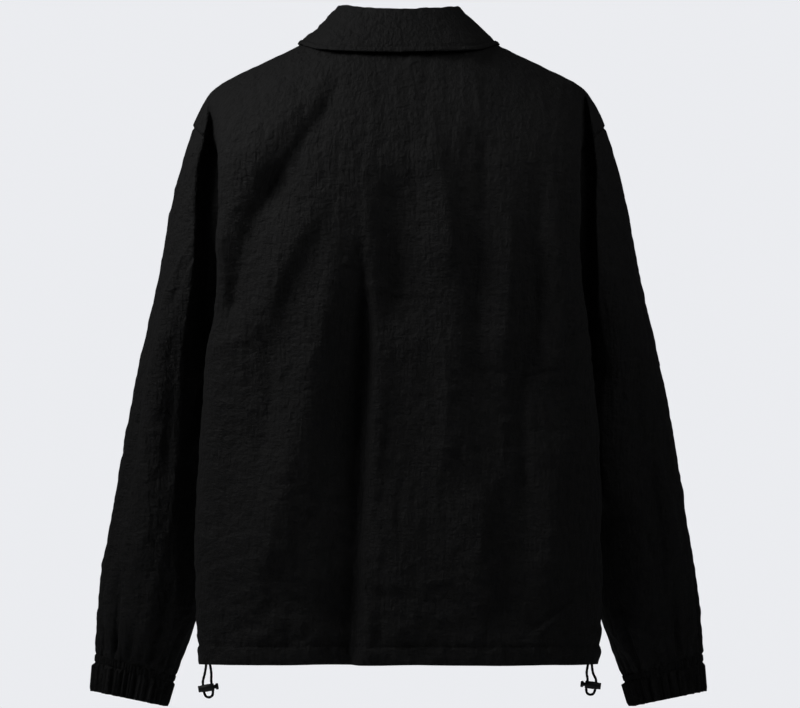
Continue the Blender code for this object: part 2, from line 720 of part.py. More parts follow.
def build_sleeves(back, left):
    """Both sleeves, each one panel that meets itself at the underarm seam."""
    grid, angles = sleeve_grid(back, left)
    grid = grid + normals_of(grid, SLEEVE_FACING) * sleeve_rise(grid, angles)[..., None]
    normals = normals_of(grid, SLEEVE_FACING)
    shared = average(normals[:, 0], normals[:, -1])
    normals[:, 0] = shared
    normals[:, -1] = shared
    for edge in ("left", "right", "bottom", "top"):
        grid = pulled_back(grid, edge, SEAM_GAP)
    wall("sleeve_left", grid, normals, CLOTH, BLACK_CLOTH, SLEEVE_FACING)
    flip = np.array([-1.0, 1.0, 1.0])
    wall("sleeve_right", grid * flip, normals * flip, CLOTH, BLACK_CLOTH, -SLEEVE_FACING)


def cuff_rings(side):
    """Rings of a cuff's wall: down the gathered outside, then up the plain inside."""
    count = CUFF_GATHERS * CUFF_POINTS_PER_GATHER
    top, bottom = np.array(CUFF_TOP), np.array(CUFF_BOTTOM)
    drop = np.array([0.0, -SEAM_GAP, 0.0, -SEAM_GAP, 0.0, 0.0])
    shrink = np.array([-CUFF_CLOTH, 0.0, CUFF_CLOTH, 0.0, 0.0, -CUFF_CLOTH])
    swell = np.array([1.0, 0.0, -1.0, 0.0, 0.0, 1.0])
    columns = []
    for i in range(count):
        angle = math.tau * i / count
        wave = 0.5 + 0.5 * math.cos(math.tau * i / CUFF_POINTS_PER_GATHER)
        column = []
        for down, fullness in CUFF_ROWS:
            section = top + drop + (bottom - top) * down + swell * CUFF_GATHER_RISE * fullness * wave
            column.append(ring_point(section, angle))
        for section in (bottom + shrink, top + drop + shrink):
            column.append(ring_point(section, angle))
        columns.append([Vector((side * x, y, z)) for x, y, z in column])
    return columns


def build_cuffs():
    for name, side in (("cuff_left", 1), ("cuff_right", -1)):
        loft(name, cuff_rings(side), BLACK_RIB, closed=True)


def neck_seam(around):
    """A point of the neck seam, straight from column to column as the panels' edges are."""
    step = 0.5 / NECK_STEPS
    before = step * math.floor(around / step)
    ends = []
    for node in (before, before + step):
        half_width = NECK_HALF_WIDTH * math.sin(math.pi * min(node, 1.0))
        ends.append(Vector(neck_point(half_width, front=node > 0.5 + step / 2)))
    return ends[0].lerp(ends[1], (around - before) / step)


def collar_profile(around):
    """The collar's closed section at one station on the wearer's left."""
    station = collar_at(around)
    neck = neck_seam(around)
    roll = Vector((station["roll_x"], station["roll_y"], station["roll_z"]))
    edge = Vector((station["edge_x"], station["edge_y"], station["edge_z"]))
    out = Vector((edge.x - neck.x, edge.y - neck.y, 0)).normalized()
    up = Vector((0, 0, 1))
    away = Vector((neck.x / NECK_HALF_WIDTH**2, neck.y / NECK_BACK_DEPTH**2, 0)).normalized()
    neck -= away * (SEAM_GAP + COLLAR_CLOTH / 2) + up * CLOTH
    inside = roll - out * COLLAR_ROLL - up * COLLAR_ROLL
    outside = roll + out * COLLAR_ROLL - up * COLLAR_ROLL
    middle = (neck + inside) / 2 - out * COLLAR_STAND_BULGE
    fall = (outside + edge) / 2
    line = [neck, middle, inside, roll, outside, fall, edge]
    flat = np.array([[(p - neck).dot(out), p.z - neck.z] for p in line])
    side = np.array([(p - neck) - out * (p - neck).dot(out) - up * (p.z - neck.z) for p in line])
    run = np.gradient(flat, axis=0)
    run /= np.linalg.norm(run, axis=1, keepdims=True)
    normal = np.stack([-run[:, 1], run[:, 0]], axis=1) * COLLAR_CLOTH / 2
    closed = np.concatenate([flat + normal, (flat - normal)[::-1]])
    aside = np.concatenate([side, side[::-1]])
    return [neck + out * a + up * b + Vector(c) for (a, b), c in zip(closed.tolist(), aside.tolist())]


def build_collar():
    """The collar as one folded piece, from the right front edge round the neck to the left."""
    stations = np.minimum(np.linspace(0, 1, COLLAR_STEPS + 1), COLLAR_END)
    left = [collar_profile(float(around)) for around in stations]
    right = [[Vector((-p.x, p.y, p.z)) for p in ring] for ring in left[:0:-1]]
    loft("collar", right + left, BLACK_CLOTH, closed=False)


def build_studs(left):
    """Press studs down the middle of the front, each seated on the left front's own points."""
    middle = left[:, LAP_STEPS]
    heights = np.linspace(STUD_TOP_HEIGHT, STUD_BOTTOM_HEIGHT, STUD_COUNT)
    for number, height in enumerate(heights, start=1):
        depth = float(np.interp(height, middle[:, 2], middle[:, 1]))
        slope = float(np.interp(height + 0.01, middle[:, 2], middle[:, 1])) - depth
        mesh = bpy.data.meshes.new(f"stud_{number}")
        shape = bmesh.new()
        bmesh.ops.create_cone(shape, cap_ends=True, segments=STUD_SEGMENTS, radius1=STUD_RADIUS,
                              radius2=STUD_RADIUS * STUD_TOP_SHARE, depth=STUD_RISE)
        shape.to_mesh(mesh)
        shape.free()
        obj = add_object(f"stud_{number}", mesh, BLACK_METAL)
        outward = Vector((0.0, -0.01, slope)).normalized()
        obj.location = Vector((0.0, depth, height)) + outward * (STUD_RISE / 2 + SEAM_GAP)
        obj.rotation_euler = outward.to_track_quat("Z", "X").to_euler()


def turned(name, rows, look):
    """A shape turned about X from rows of (place, radius)."""
    turn = np.linspace(0, math.tau, LOCK_SEGMENTS, endpoint=False)
    rings = [[(place, radius * math.cos(t), radius * math.sin(t)) for t in turn] for place, radius in rows]
    return loft(name, rings, look, closed=False)


def round_cutter(shape, radius, depth, segments, matrix):
    """A cylinder in a bmesh, along Z before the matrix is applied."""
    bmesh.ops.create_cone(shape, cap_ends=True, segments=segments, radius1=radius, radius2=radius,
                          depth=depth, matrix=matrix)


def bore_cutter(shape):
    """The blind bore of a barrel, along X."""
    along = Matrix.Translation(((BORE_BACK + BORE_FRONT) / 2, 0, 0)) @ Matrix.Rotation(math.pi / 2, 4, "Y")
    round_cutter(shape, BORE_RADIUS, BORE_FRONT - BORE_BACK, BORE_SEGMENTS, along)


def hole_cutter(shape):
    """The two cord holes of a barrel, straight down through it."""
    for x in CORD_HOLES:
        round_cutter(shape, CORD_HOLE_RADIUS, CUTTER_DEPTH, HOLE_SEGMENTS, Matrix.Translation((x, 0, 0)))


def slot_cutter(shape):
    """The two slots of a plunger, long enough for the cord to stay still while it is pressed."""
    length = 2 * CORD_HOLE_RADIUS + PLUNGER_TRAVEL
    for x in CORD_HOLES:
        place = Matrix.Translation((x + PLUNGER_TRAVEL / 2, 0, 0))
        size = Matrix.Diagonal((length, SLOT_WIDTH, CUTTER_DEPTH, 1.0))
        bmesh.ops.create_cube(shape, size=1.0, matrix=place @ size)


def cut(obj, name, make):
    """Cuts a hidden helper shape out of an object that lies in the same frame."""
    mesh = bpy.data.meshes.new(name)
    shape = bmesh.new()
    make(shape)
    shape.to_mesh(mesh)
    shape.free()
    cutter = bpy.data.objects.new(name, mesh)
    bpy.context.scene.collection.objects.link(cutter)
    cutter.parent = obj.parent
    cutter.hide_render = True
    cutter.display_type = "WIRE"
    modifier = obj.modifiers.new(name, "BOOLEAN")
    modifier.operation = "DIFFERENCE"
    modifier.object = cutter


def lock_frame(label):
    """Where a cord lock lies. Its plunger points to the middle of the hem, a little up."""
    lock = dict(zip(LOCK_COLUMNS, LOCKS[label]))
    left = lock["x"] > 0
    tilt = math.radians(lock["tilt_degrees"] if left else -lock["tilt_degrees"])
    facing = Matrix.Rotation(math.pi if left else 0.0, 4, "Z")
    return Matrix.Translation((lock["x"], lock["y"], lock["z"])) @ Matrix.Rotation(tilt, 4, "Y") @ facing


def build_lock(label):
    """A barrel with a blind bore and two cord holes, and its plunger with two slots."""
    frame = bpy.data.objects.new(f"lock_frame_{label}", None)
    bpy.context.scene.collection.objects.link(frame)
    frame.matrix_world = lock_frame(label)
    barrel = turned(f"lock_barrel_{label}", BARREL_TURNING, BLACK_PLASTIC)
    barrel.parent = frame
    cut(barrel, f"bore_{label}", bore_cutter)
    cut(barrel, f"cord_holes_{label}", hole_cutter)
    plunger = turned(f"lock_plunger_{label}", PLUNGER_TURNING, BLACK_PLASTIC)
    plunger.parent = frame
    cut(plunger, f"slots_{label}", slot_cutter)


def cord_route(label):
    """The cord's own points in order, from the casing through the lock and back."""
    frame = lock_frame(label)
    side = 1 if label == "left" else -1
    down = [Vector((side * x, y, z)) for x, y, z in CORD_DOWN]
    up = [Vector((side * x, y, z)) for x, y, z in CORD_UP]
    loop = [frame @ Vector(point) for point in CORD_LOOP]
    return down + loop + up


def smooth_route(points, steps):
    """Points along a smooth curve through the route."""
    line = np.array([tuple(p) for p in points])
    along = np.concatenate([[0.0], np.cumsum(np.linalg.norm(np.diff(line, axis=0), axis=1))])
    at = np.linspace(0, along[-1], steps + 1)
    return np.stack([smooth(at, along, line[:, axis]) for axis in range(3)], axis=1)


def build_cord(label):
    curve = bpy.data.curves.new(f"hem_cord_{label}", "CURVE")
    curve.dimensions = "3D"
    curve.bevel_depth = CORD_RADIUS
    curve.bevel_resolution = 2
    curve.use_fill_caps = True
    points = smooth_route(cord_route(label), CORD_STEPS)
    spline = curve.splines.new("POLY")
    spline.points.add(len(points) - 1)
    for point, place in zip(spline.points, points):
        point.co = (*place, 1.0)
    curve.materials.append(material(BLACK_CORD))
    obj = bpy.data.objects.new(f"hem_cord_{label}", curve)
    bpy.context.scene.collection.objects.link(obj)


def main():
    clear_scene()
    back, left = build_body()
    build_sleeves(back, left)
    build_cuffs()
    build_collar()
    build_studs(left)
    for label in LOCKS:
        build_lock(label)
        build_cord(label)


main()
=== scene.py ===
"""Looks of the collared windbreaker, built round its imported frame.

Metres, in the frame's own axes: +Z up, the front faces -Y and the wearer's left is +X. Each cloth piece
repeats the part's sections at a finer pitch, and then gets its folds, creases, gathers and sewing.
Lengths in the section, cord, fold, gather, crevice, noise and stud tables are in millimetres, and shares in
the collar, gather and crevice tables in thousandths. All other lengths are in metres.
"""

import json
import math

import bpy
import numpy as np
from mathutils import Matrix, Vector

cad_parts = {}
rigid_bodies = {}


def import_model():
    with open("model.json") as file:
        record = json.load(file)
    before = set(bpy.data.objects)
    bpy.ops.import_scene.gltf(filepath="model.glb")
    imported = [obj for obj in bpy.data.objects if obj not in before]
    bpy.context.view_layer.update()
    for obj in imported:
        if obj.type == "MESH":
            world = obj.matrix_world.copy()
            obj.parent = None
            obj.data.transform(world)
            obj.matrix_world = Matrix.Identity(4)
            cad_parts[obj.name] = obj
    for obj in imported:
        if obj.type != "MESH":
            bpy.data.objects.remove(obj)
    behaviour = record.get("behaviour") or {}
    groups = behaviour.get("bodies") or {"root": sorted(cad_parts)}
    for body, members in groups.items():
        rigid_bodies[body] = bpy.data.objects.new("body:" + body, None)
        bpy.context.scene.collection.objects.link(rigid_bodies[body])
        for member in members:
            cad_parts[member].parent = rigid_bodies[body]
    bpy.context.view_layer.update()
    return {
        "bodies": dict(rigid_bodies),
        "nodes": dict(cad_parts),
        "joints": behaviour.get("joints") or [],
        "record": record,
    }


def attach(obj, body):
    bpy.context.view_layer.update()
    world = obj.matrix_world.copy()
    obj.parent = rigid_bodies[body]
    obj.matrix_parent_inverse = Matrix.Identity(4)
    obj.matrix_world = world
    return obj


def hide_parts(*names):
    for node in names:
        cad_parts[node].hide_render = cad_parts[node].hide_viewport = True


MILLI = 0.001


def table(columns, *rows):
    """A table in thousandths, as arrays by column name."""
    return dict(zip(columns.split(), np.array(rows, float).T * MILLI))


# The photograph's frame, and the real size of one of its pixels on the garment
IMAGE_WIDTH = 800
IMAGE_HEIGHT = 708
PIXEL = 0.001122
ORIGIN_PIXEL = (399, 28)
CAMERA_DISTANCE = 30.0
SENSOR_WIDTH = 36.0
CLIP_END = 60.0

# Driving sizes, as in the part
HEM_HEIGHT = -0.714
HEM_CASING = 0.022
ARMPIT_HEIGHT = -0.318
NECK_HALF_WIDTH = 0.075
NECK_SIDE_HEIGHT = -0.0035
NECK_BACK = (0.062, -0.020)
NECK_FRONT = (-0.078, -0.082)
FOLD_TOP_HALF_WIDTH = 0.205
SHOULDER_TIP_HALF_WIDTH = 0.231
CROWN_HEIGHT = 0.112
TIP_CROWN_HEIGHT = 0.053
FRONT_LAP = 0.015
BACK_SQUARENESS = 2.7
FRONT_SQUARENESS = 2.15
BACK_CROWN_ROUNDNESS = 2.0
FRONT_CROWN_ROUNDNESS = 1.6
ARMHOLE_DRAW = 0.55
UNDERLAP_DEPTH = 0.0036
UNDERLAP_START = 0.085
UNDERLAP_FULL = 0.042
HEAD_AT_UNDERARM = (0.45, -0.89)
HEAD_AT_TIP = (0.34, -0.94)
HEAD_TO_SIDES = 0.16
HEAD_TURN = 0.04
CUFF_GATHERS = 26
CORD_RADIUS = 0.0015

# Cloth as it shows: thinner than the part's walls, and doubled at hem, cuff and collar
CLOTH = 0.0011
HEM_CLOTH = 0.0026
COLLAR_CLOTH = 0.0020
CUFF_CLOTH = 0.0024

CLOTH_SLOT = "windbreaker_cloth"
CASING_SLOT = "elastic_casing"

# How finely the sections are worked out, before they are smoothed to the final pitch
NECK_STEPS = 8
SHOULDER_STEPS = 22
RETURN_STEPS = 8
LAP_STEPS = 4
LOWER_STEPS = 22
UPPER_STEPS = 30
HEAD_STEPS = 14
TUBE_STEPS = 34
COLLAR_STEPS = 80
CURVE_SAMPLES = 120
ARMPIT_ROW = 1 + LOWER_STEPS

# The final pitch: steps up and across each piece. The inside has one step for every INNER_STEP of them.
INNER_STEP = 4
BACK_PITCH = (304, 280)
FRONT_PITCH = (304, 152)
SLEEVE_PITCH = (248, 224)
COLLAR_PITCH = (64, 320)
CUFF_PITCH = (44, 20 * CUFF_GATHERS)

BODY = table(
    "height back_depth edge_width edge_depth seam_width seam_depth front_depth",
    (-714, 117, 225, 40, 222.5, 0, -122),
    (-600, 121, 228.5, 42, 225, 0, -123),
    (-500, 119, 226.5, 46, 222, -2, -121),
    (-406, 119, 219.5, 53, 215, -4, -121),
    (-361, 121, 215, 61, 210, -5, -123),
    (-318, 123, 208.5, 70, 204, -6, -126),
    (-250, 126, 203, 83, 196.5, -42, -128),
    (-190, 127, 202.5, 84, 192.5, -58, -128),
    (-150, 124, 202.5, 79, 196.5, -58, -125),
    (-68, 112, 202.5, 68, 203, -54, -112),
)
BACK_ARMHOLE = table(
    "height seam_width seam_depth",
    (-318, 204, -6), (-310, 201, 13), (-290, 197, 28), (-250, 192, 42), (-190, 189, 52), (-150, 192, 50),
    (-112, 200, 46),
)
FRONT_ARMHOLE = table(
    "height seam_width seam_depth",
    (-318, 204, -6), (-310, 202, -24), (-290, 199, -40), (-250, 194.5, -57), (-190, 191, -67),
    (-150, 196, -64), (-112, 203, -58),
)
SHOULDER = table(
    "half_width height",
    (75, -3.5), (116, -23.5), (160, -44), (185, -55.8), (205, -68), (215, -80), (224, -96), (231, -112),
)
# Rings of the sleeve, from its head to its cuff, and of the cuff: the width and height of the outermost
# and of the innermost point, the depth of the middle and the half depth
SLEEVE_RINGS = (
    (275.5, -300, 211, -352, -42, 63),
    (292, -377, 211, -403, -53, 60),
    (306, -449, 212, -464, -64, 57),
    (318.5, -521, 215, -528, -71, 54),
    (331, -592, 220, -599, -77, 51),
    (340, -650, 227, -658, -81, 47),
    (343, -683, 239, -695, -84, 41),
    (341.5, -703, 251.5, -727, -86, 31),
)
CUFF_RINGS = ((341.5, -703, 251.5, -727, -86, 29), (345, -745, 262, -762, -89, 27))
# The first row mirrors the third, so that the collar is smooth over the middle of the back
COLLAR = table(
    "around roll_x roll_y roll_z edge_x edge_y edge_z",
    (-170, -37, 57, 21.5, -56, 86.5, -27),
    (0, 0, 66, 19.5, 0, 94, -28),
    (170, 37, 57, 21.5, 56, 86.5, -27),
    (330, 60, 35, 24, 91, 64, -24.5),
    (500, 68, 2, 21.5, 112.5, 4, -18.5),
    (650, 62, -34, 9, 105, -46, -26.5),
    (800, 49, -65, -16, 89, -86, -50),
    (910, 31, -81, -40, 68, -103, -83),
    (1000, 12, -88, -56, 47, -115, -117),
)
COLLAR_END = 0.985
COLLAR_ROLL = 0.0035
COLLAR_STAND_BULGE = 0.0012

# Each lock's place and its tilt in degrees, and the hem cord's route, down to the lock, round a loop in the
# lock's own axes and up again
LOCKS = {"left": ((0.2138, 0.012, -0.7400), 9.0), "right": ((-0.2150, 0.012, -0.7370), 7.0)}
CORD_DOWN = ((218.8, 6, -700), (217.2, 6.1, -702), (216.2, 6.6, -706.5), (216.4, 8, -715),
             (217.8, 10.5, -724))
CORD_LOOP = ((-5.3, 0, 6), (-5.3, 0, 0), (-5.3, 0, -5.8), (-3.9, 0, -9.4), (-0.5, 0, -10.8), (2.9, 0, -9.4),
             (4.3, 0, -5.8), (4.3, 0, 0), (4.3, 0, 6))
CORD_UP = ((210.5, 14, -724), (211.7, 16, -715), (213.2, 18, -707.5), (215.5, 19, -703), (218.6, 19.5, -700))

# Folds and creases, one row each: the rise (a trough is negative), the half widths towards greater and
# lesser values of the first coordinate, how sharp it is, from 1, a crease, to 2, a soft wave, and the two
# coordinates of each point that it runs through, downwards. On the body they are x and height.
BACK_FOLDS = (
    (-7.5, 8, 21, 1.8, 62, -42, 80, -82, 110, -128, 142, -174, 166, -216),
    (-12, 14, 27, 1.8, 116, -138, 145, -177, 167, -218, 181, -263, 190, -305, 206, -362),
    (5, 30, 12, 1.9, 91, -58, 122, -98, 154, -137, 173, -182),
    (8, 22, 17, 1.9, 92, -186, 125, -258, 150, -312, 178, -358),
    (-2.6, 12, 16, 1.8, 82, -200, 104, -258, 122, -296, 146, -336),
    (12, 24, 26, 1.9, 60, -196, 77, -294, 95, -378, 111, -451, 129, -513, 143, -574, 160, -631, 178, -668),
    (-23, 31, 7, 1.7, 44, -188, 40, -305, 37, -372, 43, -462, 45, -530, 50, -642, 55, -716, 62, -900),
    (-13, 20, 34, 2.0, 3, -140, 0, -249, 3, -356),
    (2.5, 4, 5, 1.6, 36, -186, 37, -310),
    (8, 30, 14, 1.9, -34, -104, -50, -193, -60, -290),
    (5, 11, 24, 1.8, -53, -325, -54, -417, -47, -526),
    (-5, 10, 10, 1.8, -94, -108, -96, -226),
    (-6, 13, 17, 1.9, -89, -206, -88, -305, -94, -430),
    (-6, 14, 9, 1.8, -158, -120, -154, -305, -147, -440),
    (-4.5, 14, 8, 1.8, -137, -320, -140, -496, -145, -680),
    (7, 22, 14, 1.9, -121, -200, -120, -290, -117, -390),
    (4, 20, 25, 2.0, -169, -438, -175, -644),
    (5, 18, 12, 1.9, -178, -190, -181, -310, -177, -430),
    (-5, 20, 12, 1.8, -122, -494, -127, -690),
    (4, 30, 14, 1.9, -89, -494, -93, -655),
    (-5, 48, 22, 1.9, 72, -590, 84, -700, 92, -860),
    (-5, 16, 9, 1.8, 150, -330, 145, -417, 156, -500),
    (-4, 18, 12, 1.9, 186, -420, 190, -520, 200, -600),
    (2.4, 8, 8, 1.7, 210, -357, 160, -343),
    (4, 7, 7, 1.8, 197, -200, 199, -280, 204, -352),
    (4.5, 5, 13, 1.8, 26, -320, 27, -420, 31, -530),
    (-3.2, 3, 3, 1.4, -141, -682, -169, -660, -200, -635),
    (1.6, 3, 3, 1.4, -146, -686, -172, -664, -200, -641),
    (-2.6, 2.6, 2.6, 1.4, -129, -394, -158, -388, -184, -380),
    (-2.0, 2.5, 2.5, 1.4, -178, -402, -199, -399),
    (-1.6, 2.6, 2.6, 1.4, -88, -386, -131, -387),
    (-1.2, 2.8, 2.8, 1.4, 22, -303, -17, -305, -56, -302),
    (-2.6, 4, 4, 1.5, -82, -35, -134, -51),
    (-3.0, 5, 5, 1.6, 84, -27, 122, -43, 165, -58),
    (-1.8, 3.5, 3.5, 1.5, 100, -47, 138, -66),
    (-3.5, 5, 5, 1.6, -214, -337, -181, -356),
    (3.0, 5, 5, 1.6, -206, -311, -186, -339),
    (-2.0, 4, 4, 1.5, -35, -114, -28, -139),
    (-2.4, 6, 6, 1.6, 20, -620, 24, -700),
    (2.2, 7, 7, 1.6, -20, -630, -16, -700),
    (-2.4, 6, 6, 1.6, 120, -640, 128, -706),
    (-2.0, 6, 6, 1.6, -100, -640, -96, -706),
)
FRONT_FOLDS = (
    (-9, 13, 26, 1.8, 100, -75, 150, -152, 186, -232),
    (5, 20, 14, 2.0, 128, -75, 188, -175),
    (7, 22, 18, 2.0, 85, -250, 102, -480, 108, -690),
    (-8, 20, 8, 1.7, 60, -300, 70, -500, 72, -690, 73, -760),
    (-6, 12, 20, 1.8, 148, -320, 150, -500, 160, -680),
    (-5, 12, 12, 1.6, 196, -330, 163, -386, 118, -450),
    (2.8, 8, 8, 1.5, 190, -345, 130, -400),
    (-2.6, 10, 10, 1.6, 30, -180, 90, -240),
    (-1.8, 4, 4, 1.4, 28, -420, 70, -441, 110, -455),
    (2.4, 5, 5, 1.4, 185, -560, 135, -640),
)
# On a sleeve they are the way round from the underarm and the height: the front of the arm is a quarter of
# the girth from the underarm, its outside a half and its back three quarters.
SLEEVE_GIRTH = 0.320
UNDERARM_FOLDS = (
    (5, 26, 26, 2.0, 0, -315, 0, -350, 0, -405),
    (5, 26, 26, 2.0, 320, -315, 320, -350, 320, -405),
)
LEFT_SLEEVE_FOLDS = (
    (5, 20, 12, 1.8, 202, -250, 209, -350, 216, -449, 226, -597, 229, -650),
    (-3.5, 9, 12, 1.8, 190, -370, 194, -449, 197, -570),
    (-4.5, 16, 10, 1.8, 232, -320, 238, -420, 245, -530),
    (2.5, 8, 6, 1.6, 264, -400, 256, -470, 250, -545),
    (2, 5, 5, 1.5, 180, -465, 182, -592),
    (-2.2, 4, 4, 1.5, 224, -245, 219, -320),
    (2, 4, 4, 1.5, 213, -220, 205, -330),
    (-2.6, 8, 8, 1.6, 298, -380, 262, -440),
    (2.2, 8, 8, 1.6, 300, -420, 256, -500),
    (-4.5, 14, 14, 1.8, 96, -320, 108, -480, 115, -640),
    (4, 14, 14, 1.8, 58, -360, 66, -480, 70, -600),
    (3, 13, 13, 1.9, 134, -340, 141, -560),
    (-2.8, 9, 9, 1.6, 22, -390, 64, -470),
)
RIGHT_SLEEVE_FOLDS = (
    (4, 10, 24, 1.8, 262, -170, 262, -300, 256, -420),
    (14, 16, 26, 2.0, 272, -385, 269, -462, 264, -560),
    (-3.5, 12, 10, 1.8, 222, -350, 224, -440, 218, -500),
    (-6, 8, 5, 1.6, 213, -466, 217, -507, 220, -597, 225, -660),
    (3, 6, 10, 1.7, 204, -515, 206, -605),
    (-3, 7, 7, 1.6, 284, -650, 236, -668),
    (2.4, 6, 6, 1.6, 276, -632, 240, -652),
    (-2, 5, 5, 1.5, 238, -560, 226, -610),
    (-2.6, 8, 8, 1.6, 298, -390, 266, -430),
    (-4.2, 14, 14, 1.8, 99, -330, 108, -470, 112, -620),
    (3.6, 14, 14, 1.8, 64, -370, 72, -480, 74, -590),
    (2.8, 13, 13, 1.9, 138, -350, 141, -570),
    (-2.6, 9, 9, 1.6, 26, -400, 61, -470),
)
# Gathers that the cuff draws into the end of each sleeve, one row for each groove: the share of the way
# round at the cuff, how far it leans on its way up, its length, half width and depth
LEFT_GATHERS = (
    (530, -10, 40, 3.5, 4.0),
    (565, -10, 30, 3.4, 3.6),
    (598, -16, 55, 4.0, 4.6),
    (660, -34, 135, 5.0, 11.0),
    (690, -6, 32, 3.6, 4.0),
    (722, -4, 60, 4.2, 6.6),
    (760, 4, 36, 3.8, 4.2),
    (800, 10, 100, 5.0, 10.0),
    (842, 16, 45, 4.2, 5.0),
    (884, 24, 75, 4.6, 8.0),
    (930, 20, 40, 4.0, 4.4),
)
RIGHT_GATHERS = (
    (528, -12, 45, 3.6, 4.2),
    (560, -26, 110, 5.0, 9.5),
    (603, -10, 36, 3.8, 4.2),
    (640, -12, 62, 4.4, 5.2),
    (684, -36, 125, 5.0, 10.5),
    (725, -4, 38, 3.8, 4.2),
    (765, 4, 58, 4.4, 5.2),
    (806, 8, 36, 3.8, 4.0),
    (848, 16, 85, 4.8, 8.5),
    (896, 16, 40, 4.2, 4.6),
    (942, 14, 55, 4.2, 4.8),
)
FRONT_GATHERS_SHIFT = 1013

# A gather's groove: how soon it starts above the cuff, how its depth falls off along it, its half width at
# its foot and how far that grows, as shares of the row's, and how sharp it is
GATHER_FADE = 0.012
GATHER_FALL = 0.8
GATHER_START = 0.7
GATHER_SPREAD = 0.9
GATHER_SHARPNESS = 1.5

# The crevice beside the fold that the back makes over each sleeve: how deep it is at a height, how wide its
# floor, how wide the wall that rises from it, and the share of the back's return left beside the fold
CREVICE_COLUMNS = "height depth floor wall start"
CREVICES = {
    "left": table(
        CREVICE_COLUMNS,
        (-70, 0, 0, 6, 300), (-86, 10, 5, 6, 260), (-105, 20, 5, 8, 200), (-130, 28, 6, 12, 60),
        (-160, 34, 7, 17, 0), (-200, 36, 8, 20, 0), (-280, 35, 8, 20, 0), (-340, 29, 6, 22, 0),
        (-400, 20, 4, 24, 0), (-470, 13, 3, 24, 0), (-560, 6, 2, 22, 0), (-640, 2, 2, 20, 0),
    ),
    "right": table(
        CREVICE_COLUMNS,
        (-64, 0, 0, 5, 0), (-74, 12, 2, 5, 0), (-86, 20, 4, 5, 0), (-105, 27, 6, 6, 0), (-130, 32, 8, 8, 0),
        (-200, 36, 9, 9, 0), (-270, 34, 8, 10, 0), (-310, 28, 6, 10, 0), (-360, 18, 4, 10, 0),
        (-420, 8, 1, 10, 0), (-500, 2, 0, 10, 0),
    ),
}
CREVICE_EDGE = 0.0015
CREVICE_TURN = 0.18
UNDERARM_SHARE = 0.08
BACK_OF_ARM = 0.1

# Crinkle of the cloth all over and crumple above the hem, one row for each layer of noise: the size of its
# cells across and along, its rise, and a number added to the seed
CRINKLE = ((15, 6.5, 0.30, 0), (28, 12, 0.52, 1), (6.5, 34, 0.42, 2), (11, 64, 0.85, 4), (60, 70, 1.0, 3))
HEM_CRUMPLE = ((17, 11, 1.0, 0), (36, 26, 2.2, 1))
CRUMPLE_HEIGHT = 0.24
LATTICE_BEND = 0.5
LATTICE_WAVES = (1.9, 1.7)

# Small creases: ranges of length, upright or level, of half width and rise, in millimetres, and of sharpness,
# the spread of their slant and bow, the share of them that lies level, and how many a sleeve has. Then how
# far from its ends a fold tapers, as a share of its length, how finely its line is followed, and how many
# half widths it reaches to each side.
UPRIGHT_LENGTH = (18, 60)
LEVEL_LENGTH = (8, 30)
CREASE_HALF_WIDTH = (2.2, 5.0)
CREASE_RISE = (0.3, 1.0)
CREASE_SHARPNESS = (1.2, 1.8)
CREASE_SLANT = 0.22
CREASE_BOW = 0.2
BODY_LEAN = 0.55
SLEEVE_LEAN = 0.5
SLEEVE_CREASES = 240
FOLD_END = 0.26
FOLD_STEPS = 6
FOLD_REACH = 3

# Seams, hem, neck and sleeve ends
BACK_FACING = -1
FRONT_FACING = 1
SLEEVE_FACING = -1
SEAM_DEPTH = 0.0012
SEAM_LIP = 0.0012
SEAM_LIP_AWAY = 0.0030
SEAM_HALF_WIDTH = 0.0014
FOLD_FADE = 0.016
CREASE_FADE = 0.006
HEM_STEP = 0.002
CASING_BULGE = 0.0009
CASING_ROUNDNESS = 0.8
CASING_GROOVE = 0.0013
GROOVE_HALF_WIDTH = 0.0016
PUCKER = ((7.5, 30, 1.0, 0),)
PUCKER_LENGTH = 0.018
PUCKER_SHARPNESS = 1.4
HEM_WAVE = ((55, 1000, 1.0, 0),)
HEM_WAVE_HEIGHT = 0.05
SOFTEN_REACH = 12
SOFTEN_FADE = 0.025
SOFTEN_HALF_WIDTH = 0.13
SOFTEN_EDGE = 0.03
RUFFLE = ((4.2, 16, 3.4, 0),)
RUFFLE_LENGTH = 0.009
RUFFLE_ROOT = 0.4
RUFFLE_TUCK = 0.0016
RUFFLE_TUCK_LENGTH = 0.004
RAGGED = ((6, 30, 2.4, 0),)
RAGGED_END = 0.00264
CUFF_FOLD_FADE = 0.03
CUFF_CREASE_FADE = 0.008

# Cuffs: pleats to a gather, the spread of their places and what is taken off their height, for the broad
# and small pleats and those of the header
PLEATS = {"broad": (1, 0.24, 0.55), "small": (2, 0.26, 0.5), "close": (3, 0.22, 0.5)}
PLEAT_HEIGHTS = (0.55, 1.1)
PLEAT_POWER = 1.1
CUFF_HEADER = 0.22
CUFF_HEADER_FADE = 0.10
CUFF_PLEAT = 0.0066
CUFF_SMALL_PLEAT = 0.0030
HEADER_PLEAT = 0.0024
CUFF_STITCH_PINCH = 0.0012
PINCH_WIDTHS = (0.030, 0.025)
CUFF_EDGE = (0.25, 0.88, 0.12)

# Collar: how far its leaf is drawn in at the back, its relief, its firm edge and the groove of its stitches
LEAF_DRAW = 0.006
LEAF_DRAW_END = 0.34
COLLAR_SEED = 71
COLLAR_CREASES = 60
COLLAR_LEAN = 0.7
COLLAR_RELIEF = 0.8
COLLAR_EDGE = (0.0009, 0.0034, 0.0022)
COLLAR_GROOVE = (0.0012, 0.0067, 0.0012)

